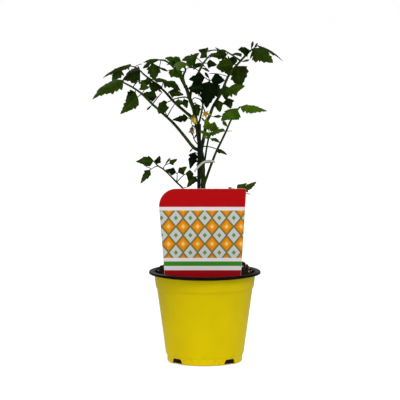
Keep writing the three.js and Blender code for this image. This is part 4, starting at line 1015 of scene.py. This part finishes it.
def pot_material(formed, bright, painted_shade_colour):
    """Yellow outside: darker with height up to the rim, a painted shade under the lip with painted
    bounce light at the foot; deeper in broad patches, dusty at the foot, dull where scuffed."""
    w = Finish("pot_yellow", Specular_IOR_Level=0.06)
    outs = w.group(formed, Where=w.place())
    z = w.split(w.place())[2]
    # painted shade: the yellow goes most of the way from the bright foot colour to the painted
    # shade colour by 0.11 m up, standing in for the shadow under the lip and the floor's bounce
    # light at the foot
    height = w.ranged(z, 0.0, 0.11, 0.0, 0.8)
    base = w.mix(w.plus(height, w.ranged(outs["Shade"], 0.3, 0.7, -0.1, 0.2)), bright, painted_shade_colour)
    dust = w.times(w.times(w.ranged(z, 0.02, 0.0), outs["Dust"]), 0.5)
    base = w.mix(dust, base, srgb(120, 100, 40))
    rough = w.ranged(outs["Scuff"], 0.0, 1.0, 0.36, 0.52)
    return w.done(base, rough, outs["Height"], 0.22, 0.0003)


def rim_material(formed, black):
    """Near-black inside and rim: the same forming marks, with soil dust in patches."""
    w = Finish("pot_black", Specular_IOR_Level=0.03)
    outs = w.group(formed, Where=w.place())
    base = w.mix(w.times(outs["Dust"], 0.25), black, srgb(60, 48, 38))
    rough = w.ranged(outs["Scuff"], 0.0, 1.0, 0.3, 0.55)
    return w.done(base, rough, outs["Height"], 0.3, 0.0004)


def soil_material(dark, light):
    """Potting mix: dark brown to brown by each lump's tone and fine noise, rough all over."""
    w = Finish("soil_mix", Specular_IOR_Level=0.08)
    fine = w.noise(w.place(), 700.0, 5.0, 0.65)
    tone = w.plus(w.times(w.value("tone"), 0.6), w.times(fine, 0.5))
    base = w.mix(w.ranged(tone, 0.25, 0.85), dark, light)
    return w.done(base, w.ranged(fine, 0.3, 0.7, 0.8, 0.98), fine, 0.9, 0.0012)


def plain_material(name, low, high, rough, scale, relief, **constants):
    """A finish with a fine grain: two close colours by noise, and its relief."""
    w = Finish(name, **constants)
    grain = w.noise(w.place(), scale, 4.0)
    base = w.mix(w.ranged(grain, 0.3, 0.7), low, high)
    rough = w.ranged(grain, 0.3, 0.7, rough - 0.06, rough + 0.06)
    return w.done(base, rough, grain, relief, 0.0003)


def petal_material(name, tip, root):
    """Petals: a deeper colour at the root, mottled finely all over."""
    w = Finish(name, Sheen_Weight=0.2)
    fine = w.noise(w.place(), 1500.0, 3.0)
    base = w.mix(w.ranged(w.value("tone"), 0.0, 0.7), root, tip)
    base = w.mix(w.times(fine, 0.25), base, root)
    return w.done(base, w.ranged(fine, 0.2, 0.8, 0.45, 0.65), fine, 0.35, 0.0002)


def lozenge_group():
    """A lattice of upright lozenges. The place is turned into the sum and the difference of
    its two coordinates, each in pitches, and folded to one cell of each. How far it is from
    the cell's middle gives the lozenge, its rim and its core; the cells come in two kinds,
    by whether the sum of their two numbers is odd."""
    names = ("Across", "Up", "Pitch", "Stretch")
    masks = ("Tile", "Rim", "Core", "Odd")
    w = Group("Lozenges", dict.fromkeys(names, "value"), dict.fromkeys(masks, "value"))
    across, up, pitch, stretch = [w.given[name] for name in names]
    u, v = w.math("DIVIDE", across, pitch), w.math("DIVIDE", up, w.times(pitch, stretch))
    parts = w.plus(u, v), w.math("SUBTRACT", u, v)
    cells = [w.math("SUBTRACT", w.math("FLOORED_MODULO", part, 1.0), 0.5) for part in parts]
    far = w.math("MAXIMUM", *[w.math("ABSOLUTE", cell) for cell in cells])
    number = w.plus(*[w.math("FLOOR", part) for part in parts])
    return w.done(
        Tile=w.ranged(far, 0.43, 0.46, 1.0, 0.0),
        Rim=w.ranged(far, 0.33, 0.36),
        Core=w.ranged(far, 0.13, 0.16, 1.0, 0.0),
        Odd=w.math("FLOORED_MODULO", number, 2.0),
    )


def label_material(lozenges, c):
    """A printed card: a red band over a pale ground and a deeper band below, a field of
    lozenges right across the card, and a green stripe under the field. A band is the product
    of two ramps up the card, one at each edge."""
    w = Finish("label_print", Specular_IOR_Level=0.07)
    x, _, z = w.split(w.place())
    across, up = w.times(x, 1 / MM), w.times(z, 1 / MM)

    def band(name):
        low, high = LABEL_BANDS[name]
        gaps = w.math("SUBTRACT", up, low), w.math("SUBTRACT", high, up)
        return w.times(*[w.math("DIVIDE", gap, BAND_EDGE, clamp=True) for gap in gaps])

    wear = w.noise(w.place(), 2400.0, 2.0)
    base = w.mix(band("upper"), c.label_ground, c.label_red)
    base = w.mix(band("lower"), base, srgb(164, 4, 18))
    base = w.mix(band("spike"), base, srgb(225, 222, 216))
    cells = w.group(lozenges, Across=across, Up=up, Pitch=18.0, Stretch=1.2)
    filled = w.mix(cells["Rim"], c.label_tile, srgb(214, 120, 8))
    filled = w.mix(cells["Core"], filled, srgb(250, 205, 110))
    empty = w.mix(w.times(cells["Core"], 0.9), srgb(208, 207, 204), c.label_green)
    field = w.mix(cells["Tile"], srgb(92, 118, 62), w.mix(cells["Odd"], filled, empty))
    base = w.mix(band("field"), base, field)
    base = w.mix(band("stripe"), base, c.label_green)
    base = w.mix(w.times(wear, 0.06), base, srgb(90, 80, 80))
    return w.done(base, w.ranged(wear, 0.3, 0.7, 0.3, 0.42), wear, 0.1, 0.0001)


def stage_material(colour):
    """The plain floor: pale, and lit from within where the camera sees it, like a light
    table. The glow doesn't fall on the plant."""
    w = Finish("stage_pale", Specular_IOR_Level=0.05, Emission_Strength=0.72)
    cloud = w.noise(w.place(), 3.0, 2.0)
    seen = w.node("ShaderNodeLightPath").outputs["Is Camera Ray"]
    w.put(w.sockets["Emission Color"], w.mix(seen, srgb(0, 0, 0), colour))
    base = w.mix(cloud, srgb(218, 218, 218), srgb(222, 222, 222))
    return w.done(base, w.ranged(cloud, 0.3, 0.7, 0.7, 0.75))


# ---------------------------------------------------------------- what a user can change


class TomatoSizes(bpy.types.PropertyGroup):
    """Sizes of the finer parts."""

    hair_length: bpy.props.FloatProperty(
        name="Hair length", description="Length of the fine hairs on stems and stalks",
        default=0.0009, min=0.0, unit="LENGTH",
    )
    hair_spacing: bpy.props.FloatProperty(
        name="Hair spacing", description="Length of main stem for each hair",
        default=0.00028, min=0.00005, unit="LENGTH",
    )
    crumbs: bpy.props.IntProperty(
        name="Soil crumbs", description="Number of loose crumbs on the soil", default=1500, min=0,
    )
    perlite: bpy.props.IntProperty(
        name="Perlite grains", description="Number of white grains on the soil", default=260, min=0,
    )
    pot_sides: bpy.props.IntProperty(
        name="Pot sides", description="Facets round the pot", default=160, min=24,
    )
    floor_size: bpy.props.FloatProperty(
        name="Floor size", description="Width of the round floor",
        default=32.0, min=1.0, unit="LENGTH",
    )


def colour_property(name, description, rgb):
    """A colour that a user can pick, from display values of 0 to 255."""
    return bpy.props.FloatVectorProperty(
        name=name, description=description, size=4, min=0.0, max=1.0, subtype="COLOR",
        default=srgb(*rgb),
    )


class TomatoColours(bpy.types.PropertyGroup):
    """Colours of the finishes."""

    # The leaf greens are reached through each leaf's shade value, so they carry painted light and
    # shade: the dark end stands partly for blades in shadow and the bright end for blades in the
    # lamp's light.
    leaf_dark: colour_property("Leaf, dark", "Upper side in its deepest patches", (4, 18, 2))
    leaf_bright: colour_property("Leaf, bright", "Upper side in its palest patches", (60, 86, 8))
    young_dark: colour_property("Young leaf, dark", "Young blades, deepest", (22, 52, 3))
    young_bright: colour_property("Young leaf, bright", "Young blades, palest", (92, 128, 16))
    leaf_vein: colour_property("Veins", "Lines along the veins", (88, 120, 26))
    leaf_beneath: colour_property("Leaf, beneath", "Lower side of a blade", (66, 94, 24))
    stem_low: colour_property("Stem, dark", "Stems in their darker streaks", (10, 26, 2))
    stem_high: colour_property("Stem, pale", "Stems in their paler streaks", (58, 82, 16))
    stem_blush: colour_property("Stem, blush", "Purple blush near the soil", (70, 40, 48))
    pot_yellow: colour_property("Pot", "Outside of the pot", (252, 224, 0))
    # painted shade: the pot colour above is the yellow as lit at the foot, and this darker yellow
    # is a painted shade for the upper part under the lip
    pot_painted_shade: colour_property("Pot, painted shade", "Painted shade on the upper part of the pot", (206, 186, 0))
    pot_black: colour_property("Pot, inside", "Inside and rim of the pot", (13, 11, 9))
    soil_dark: colour_property("Soil, dark", "Damp potting mix", (14, 7, 5))
    soil_light: colour_property("Soil, light", "Dry potting mix", (62, 38, 26))
    perlite: colour_property("Perlite", "White grains in the soil", (206, 202, 192))
    cane: colour_property("Cane", "The plant stick", (8, 9, 8))
    tie: colour_property("Tie", "The band round cane and stem", (226, 224, 212))
    label_red: colour_property("Label, red", "Upper band of the label", (186, 0, 4))
    label_ground: colour_property("Label, ground", "Pale ground of the label", (236, 233, 234))
    label_tile: colour_property("Label, lozenges", "Filled lozenges of the label", (238, 150, 14))
    label_green: colour_property("Label, green", "Stripe of the label", (58, 140, 30))
    petal: colour_property("Petals", "Fresh petals", (222, 190, 52))
    petal_root: colour_property("Petals, root", "Fresh petals at their root", (160, 136, 20))
    petal_faded: colour_property("Petals, faded", "Withered petals", (132, 106, 44))
    anther: colour_property("Anther cone", "Cone in the middle of a flower", (214, 166, 24))
    floor: colour_property("Floor", "The plain floor", (250, 250, 250))


FINISH = {}  # the materials by name, once they are made


def make_finishes(c):
    """Every material, made once from the chosen colours."""
    mottle, formed = mottle_group(), formed_group()
    blade = blade_group(mottle)
    plain = plain_material
    FINISH.update(
        leaf=leaf_material("leaf_green", blade, c.leaf_dark, c.leaf_bright, c),
        young=leaf_material("leaf_young", blade, c.young_dark, c.young_bright, c),
        stem=stem_material(mottle, c.stem_low, c.stem_high, c.stem_blush),
        pot=pot_material(formed, c.pot_yellow, c.pot_painted_shade),
        rim=rim_material(formed, c.pot_black),
        soil=soil_material(c.soil_dark, c.soil_light),
        perlite=plain("perlite_white", c.perlite, srgb(168, 160, 146), 0.85, 1500.0, 0.6),
        cane=plain(
            "cane_black", c.cane, srgb(20, 22, 18), 0.42, 800.0, 0.3, Specular_IOR_Level=0.08
        ),
        tie=plain(
            "tie_pale", c.tie, srgb(204, 202, 186), 0.34, 600.0, 0.15, Transmission_Weight=0.25
        ),
        label=label_material(lozenge_group(), c),
        card=plain("label_back", srgb(226, 224, 220), srgb(206, 204, 200), 0.4, 900.0, 0.1),
        petal=petal_material("petal_fresh", c.petal, c.petal_root),
        faded=petal_material("petal_faded", c.petal_faded, srgb(92, 66, 30)),
        anther=plain("anther_cone", c.anther, srgb(200, 130, 14), 0.5, 1800.0, 0.4),
        stage=stage_material(c.floor),
    )


def finish(*names):
    """The named materials, made at the first call."""
    if not FINISH:
        make_finishes(bpy.context.scene.tomato_colours)
    return [FINISH[name] for name in names]


# ---------------------------------------------------------------- operators


def cut_notch(pot, angle):
    """Takes one notch out of the pot's mesh."""
    points, faces = notch_cutter(angle)
    tool = place_object("notch_tool", new_mesh("notch_tool", points * MM, face_lists(faces)))
    cut = pot.modifiers.new("notch", "BOOLEAN")
    cut.operation, cut.solver, cut.object = "DIFFERENCE", "EXACT", tool
    settled = pot.evaluated_get(bpy.context.evaluated_depsgraph_get())
    cut_mesh = bpy.data.meshes.new_from_object(settled)
    pot.modifiers.clear()
    old, wedge, pot.data = pot.data, tool.data, cut_mesh
    bpy.data.objects.remove(tool)
    bpy.data.meshes.remove(wedge)
    bpy.data.meshes.remove(old)


class TOMATO_OT_pot(bpy.types.Operator):
    """Build the nursery pot with its rolled rim, steps and drain notches"""

    bl_idname = "tomato.pot"
    bl_label = "Pot"

    def execute(self, context):
        # one turned surface, yellow below the flange and near-black from there in
        sides = context.scene.tomato_sizes.pot_sides
        outside = np.array(POT_OUTSIDE, float)
        low, high = POT_INSIDE
        inner = outside[(outside[:, 0] > low) & (outside[:, 0] < high)][::-1] - [0, POT_WALL]
        profile = np.vstack([outside, POT_RIM, inner, POT_FLOOR])
        black = np.arange(len(profile) - 1) >= len(outside) - 1
        slots = np.concatenate([black.repeat(sides), np.zeros(sides), np.ones(sides)])
        shell = Shell()
        shell.add(rings_closed(lathe(profile, sides)), ring_faces(len(profile), sides), slot=slots)
        pot = shell.make("pot_shell", finish("pot", "rim"), "pot", ["pot"], sharp=35)
        for angle in DRAIN_NOTCHES:
            cut_notch(pot, angle)
        pot.data.name = "pot_shell"
        pot.data.set_sharp_from_angle(angle=np.radians(35))
        return {"FINISHED"}


class TOMATO_OT_soil(bpy.types.Operator):
    """Build the heaped soil with its loose crumbs and perlite grains"""

    bl_idname = "tomato.soil"
    bl_label = "Soil"

    def execute(self, context):
        sizes = context.scene.tomato_sizes
        z = np.array(SOIL_ROWS)
        r = np.interp(z, *np.array(POT_OUTSIDE, float).T) - SOIL_GAP
        r[0] = 20  # from here the underside closes
        top = np.linspace(r[-1], 0.6, 64)[:, None]
        x, y = top * np.cos(circle(SOIL_SIDES)), top * np.sin(circle(SOIL_SIDES))
        crown = np.stack([x, y, soil_height(x, y)], axis=-1)
        rings = np.vstack([lathe(np.stack([z, r], axis=1), SOIL_SIDES), crown[1:]])
        bed, crumbs, grains = Shell(), Shell(), Shell()
        bed.add(rings_closed(rings), ring_faces(len(rings), SOIL_SIDES), tone=0.4)
        bed.make("soil_bed", finish("soil"), "soil", ["soil"], sharp=180)
        rng = np.random.default_rng(7)
        pebbles(crumbs, rng, sizes.crumbs, (0.5, 2.3), (0.0, 1.0))
        crumbs.make("soil_crumbs", finish("soil"), "soil", sharp=20)
        pebbles(grains, rng, sizes.perlite, (0.4, 1.5), (0.4, 0.6), sink=0.1)
        grains.make("perlite_grains", finish("perlite"), "soil", sharp=20)
        return {"FINISHED"}


class TOMATO_OT_supports(bpy.types.Operator):
    """Build the cane and the tie that holds the stem to it"""

    bl_idname = "tomato.supports"
    bl_label = "Cane and tie"

    def execute(self, context):
        radius = STAKE["radius"]
        cane, band = Shell(), Shell()
        path = [STAKE["foot"], STAKE["top"]]
        cane.add(*tube(path, (radius, radius), sides=20, step=2.4, wobble=0.015, seed=3))
        cane.make("cane", finish("cane"), "stake", ["stake"])
        # the band: a flattened ring carried along the path, with its width kept upright
        centre, ahead, _ = along_path(TIE, 0.6)
        side = unit(np.cross(ahead, [0, 0, 1.0]))
        upright = np.cross(side, ahead)
        c, s = np.cos(circle(16)), np.sin(circle(16))
        thin, wide = TIE_HALF
        flat, tall = np.sign(c) * np.abs(c) ** 0.6 * thin, np.sign(s) * np.abs(s) ** 0.5 * wide
        rings = centre[:, None] + flat[None, :, None] * side[:, None]
        rings = rings + tall[None, :, None] * upright[:, None]
        band.add(rings_closed(rings), ring_faces(len(centre), 16))
        band.make("tie_band", finish("tie"), "tie", ["tie"], sharp=40)
        return {"FINISHED"}


def label_outline():
    """The card's outline from its spike round by the right edge: straight sides, a small
    arc at the right corner and a big one at the left."""

    def arc(middle, radius, start, count):
        turn = np.radians(np.linspace(start, start + 90, count))
        return middle + radius * np.stack([np.cos(turn), np.sin(turn)], axis=1)

    small = LABEL["small_corner"]
    small_arc = arc((LABEL["right_edge"] - small, LABEL["top"] - small), small, 0, 7)
    big_arc = arc(LABEL["corner_middle"], LABEL["corner"], 90, 25)
    return np.vstack([LABEL["right"], small_arc, big_arc, LABEL["left"]])


class TOMATO_OT_label(bpy.types.Operator):
    """Build the printed label that stands in the soil"""

    bl_idname = "tomato.label"
    bl_label = "Label"

    def execute(self, context):
        edge = label_outline()
        along = unit(np.roll(edge, -1, axis=0) - np.roll(edge, 1, axis=0))
        into, down = LABEL["bevel"]
        inset = edge + into * np.stack([-along[:, 1], along[:, 0]], axis=1)
        half = LABEL["thickness"] / 2
        layers = ((inset, -half), (edge, -half + down), (edge, half - down), (inset, half))
        rings = []
        for outline, depth in layers:
            lean = np.tan(np.radians(LABEL["tilt"])) * (outline[:, 1] - LABEL["soil_level"])
            y = LABEL["middle"] + depth + lean
            rings.append(np.stack([outline[:, 0], y, outline[:, 1]], axis=1))
        count = len(edge)
        j = np.arange(count)
        k = (j + 1) % count
        starts = count * np.arange(3)
        walls = [np.stack([i + j, i + count + j, i + count + k, i + k], 1) for i in starts]
        faces = [np.vstack(walls), j[None], 3 * count + j[None, ::-1]]
        card = Shell()
        card.add(np.vstack(rings), faces, slot=np.concatenate([np.ones(3 * count), [0, 1]]))
        card.make("label_card", finish("label", "card"), "label", ["label"], sharp=30)
        return {"FINISHED"}


class TOMATO_OT_stem(bpy.types.Operator):
    """Build the main stem and its left arm, with fine hairs"""

    bl_idname = "tomato.stem"
    bl_label = "Main stem"

    def execute(self, context):
        sizes = context.scene.tomato_sizes
        stem = Shell()
        for seed, part in enumerate((TRUNK, LEFT_ARM)):
            skin = STEM_SKIN * np.array(part["radius"])
            stem.add(*tube(part["path"], skin, sides=20, step=1.5, wobble=0.06, seed=seed))
        spacing, length = sizes.hair_spacing / MM, sizes.hair_length / MM
        hairs(stem, TRUNK["path"][2:], TRUNK["radius"], 5, spacing, length, slot=0)
        stem.make("stem_trunk", finish("stem"), "stem", ["main_stem"])
        return {"FINISHED"}


class TOMATO_OT_foliage(bpy.types.Operator):
    """Build every compound leaf with its stalks, leaflets and hairs"""

    bl_idname = "tomato.foliage"
    bl_label = "Leaves"

    def execute(self, context):
        length = context.scene.tomato_sizes.hair_length / MM
        for i, leaf in enumerate(LEAVES):
            shell = Shell()
            # the leaf's shade is partly painted light and shade: high for leaves seen lit, low for
            # leaves in shadow
            compound_leaf(shell, leaf, 1000 * (i + 1), leaf["shade"])
            hairs(shell, leaf["path"], leaf["radius"], 50 + i, 0.4, 0.8 * length)
            for j, branch in enumerate(leaf.get("branches", [])):
                hairs(shell, branch["path"], branch["radius"], 90 + 10 * i + j, 0.5, 0.7 * length)
            blade, slot = ("young", "young_leaf") if leaf.get("young") else ("leaf", "leaf")
            name = "foliage_" + leaf["name"].removeprefix("leaf_")
            shell.make(name, finish(blade, "stem"), slot, [leaf["name"]], sharp=60)
        return {"FINISHED"}


def lobe_frames(axis, angle, turn):
    """Five directions tilted out from an axis by an angle and spread evenly round it, with
    the direction round the axis at each."""
    along = unit(axis)
    third = np.cross(unit(np.cross(along, FLOWER_SIDE)), along)
    level = spokes(np.radians(turn + 360 * np.arange(5) / 5), -third, np.cross(along, -third))
    tilt = np.radians(angle)
    out = np.cos(tilt) * along - np.sin(tilt) * level
    return zip(out, unit(np.cross(along, out)))


def lobes(shell, middle, axis, length, half_width, angle, turn, curl, tone=None):
    """Five pointed lobes. Across each the surface is a shallow trough; along each it leaves
    the axis at the given angle and curls back with the square of the way along. The half
    width is a sine of the way along to a power, which puts its widest place near the root."""
    t = np.linspace(0.04, 1, 15)[:, None]
    u = np.linspace(-1, 1, 9)[None, :]
    width = half_width * np.sin(np.pi * np.clip(t, 0, 0.995) ** 0.62) ** 0.8 + 0.04
    bend = -curl * length * t**2 + 0.22 * half_width * (1 - u**2) * -np.sin(np.pi * t**0.7)
    wave = 0.05 * length * np.sin(5 * t + 2 * u) * t
    shade = np.tile(np.broadcast_to(t, bend.shape).ravel(), 2) if tone is None else tone
    for out, around in lobe_frames(axis, angle, turn):
        normal = unit(np.cross(around, out))
        grid = (
            middle + (t * length)[..., None] * out + (u * width)[..., None] * around
            + (bend + wave)[..., None] * normal
        )
        shell.add(*slab(grid, normal, 0.22), tone=shade)


def flower_cone(middle, along, petal):
    """The cone in a flower: rings along the axis, each ridged ten times by a rectified sine."""
    turn = circle(40)
    side = unit(np.cross(along, FLOWER_SIDE))
    ridge = 1 + 0.09 * np.abs(np.sin(2.5 * turn))
    reach = middle + along * 0.66 * petal * CONE_RISE[:, None]
    thick = (0.5 + 0.06 * petal) * CONE_WIDTH
    out = spokes(turn, side, np.cross(along, side))
    rings = reach[:, None] + (thick[:, None] * ridge)[..., None] * out[None]
    return rings_closed(rings), ring_faces(len(CONE_RISE), len(turn))


class TOMATO_OT_flowers(bpy.types.Operator):
    """Build the open, hanging and faded flowers with their stalks and sepals"""

    bl_idname = "tomato.flowers"
    bl_label = "Flowers"

    def execute(self, context):
        for i, flower in enumerate(FLOWERS):
            name, axis, petal, spread = [flower[key] for key in ("name", "axis", "petal", "spread")]
            middle, along = np.array(flower["middle"], float), unit(axis)
            bloom, green = Shell(), Shell()
            lobes(bloom, middle, axis, petal, 0.15 * petal + 0.5, spread, 0, flower["curl"])
            bloom.add(*flower_cone(middle, along, petal), slot=1)
            new_name, skins = name.replace("flower", "bloom"), finish(flower["skin"], "anther")
            bloom.make(new_name, skins, "petal", [name + "_petals"], sharp=60)

            cup = middle - along
            path = [*flower["stalk"], tuple(cup - 1.6 * along), tuple(cup)]
            green.add(*tube(path, (0.55, 0.75), sides=12, step=0.6, seed=i, knuckle=0.7))
            hairs(green, path, (0.55, 0.7), 400 + i, 0.25, 0.6, slot=0)
            lobes(green, cup, axis, 0.62 * petal, 0.8, min(115, spread + 28), 36, 0.22, tone=0.5)
            new_name = name.replace("flower", "pedicel")
            green.make(new_name, finish("stem"), "stem", [name + "_stalk"], sharp=60)
        return {"FINISHED"}


def look(place, target):
    """The turn that points an object's -Z axis from a place to a target, with no roll."""
    gap = np.asarray(target, float) - np.asarray(place, float)
    return (np.arctan2(np.hypot(gap[0], gap[1]), -gap[2]), 0.0, np.arctan2(-gap[0], gap[1]))


class TOMATO_OT_stage(bpy.types.Operator):
    """Build the pale floor, the studio light and the camera"""

    bl_idname = "tomato.stage"
    bl_label = "Floor, light and camera"

    def execute(self, context):
        scene = context.scene
        radius = scene.tomato_sizes.floor_size / 2
        # a wide disc, turned round the Z axis from a two-point rim
        rings = lathe([(-0.003, radius), (-0.0006, radius)], 96)
        mesh = new_mesh("studio_floor", rings_closed(rings), face_lists(ring_faces(2, 96)))
        mesh.materials.append(finish("stage")[0])
        place_object("studio_floor", mesh)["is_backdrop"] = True

        scene.world = bpy.data.worlds.new("studio_world")
        scene.world.use_nodes = True
        glow = scene.world.node_tree.nodes["Background"].inputs
        glow["Color"].default_value, glow["Strength"].default_value = (1, 1, 1, 1), 0.42
        for name, place, size, power in LIGHTS:
            light = bpy.data.lights.new(name, "AREA")
            light.shape, light.size, light.energy = "SQUARE", size, power
            lamp = place_object(name, light)
            lamp.location, lamp.rotation_euler = place, look(place, LIGHTS_AIM)

        lens = bpy.data.cameras.new("photo_camera")
        lens.lens, lens.sensor_width, lens.clip_end = CAMERA["lens"], 36.0, 60.0
        rise, aim = np.radians(CAMERA["rise"]), np.array(CAMERA["aim"])
        place = aim + CAMERA["distance"] * np.array([0, -np.cos(rise), np.sin(rise)])
        scene.camera = place_object("photo_camera", lens)
        scene.camera.location, scene.camera.rotation_euler = place, look(place, aim)
        scene.view_settings.view_transform = "Standard"
        return {"FINISHED"}


PIECES = (
    TOMATO_OT_stage, TOMATO_OT_pot, TOMATO_OT_soil, TOMATO_OT_supports, TOMATO_OT_label,
    TOMATO_OT_stem, TOMATO_OT_foliage, TOMATO_OT_flowers,
)


class TOMATO_PT_panel(bpy.types.Panel):
    """Lists the pieces of the plant and what can be changed"""

    bl_label = "Potted tomato plant"
    bl_idname = "TOMATO_PT_panel"
    bl_space_type = "VIEW_3D"
    bl_region_type = "UI"
    bl_category = "Tomato"

    def draw(self, context):
        for piece in PIECES:
            self.layout.operator(piece.bl_idname)
        for group in (context.scene.tomato_sizes, context.scene.tomato_colours):
            for name in group.__annotations__:
                self.layout.prop(group, name)


CLASSES = (TomatoSizes, TomatoColours, *PIECES, TOMATO_PT_panel)


def register():
    for item in CLASSES:
        bpy.utils.register_class(item)
    bpy.types.Scene.tomato_sizes = bpy.props.PointerProperty(type=TomatoSizes)
    bpy.types.Scene.tomato_colours = bpy.props.PointerProperty(type=TomatoColours)


def unregister():
    del bpy.types.Scene.tomato_colours
    del bpy.types.Scene.tomato_sizes
    for item in reversed(CLASSES):
        bpy.utils.unregister_class(item)


def corners(box):
    """A box's two corners as plain lists."""
    return [[float(v) for v in corner] for corner in box]


def main():
    register()
    for step in PIECES:
        family, name = step.bl_idname.split(".")
        getattr(getattr(bpy.ops, family), name)()
    {"cad": corners(CAD_BOX), "visual": corners(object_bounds())}


if __name__ == "__main__":
    main()
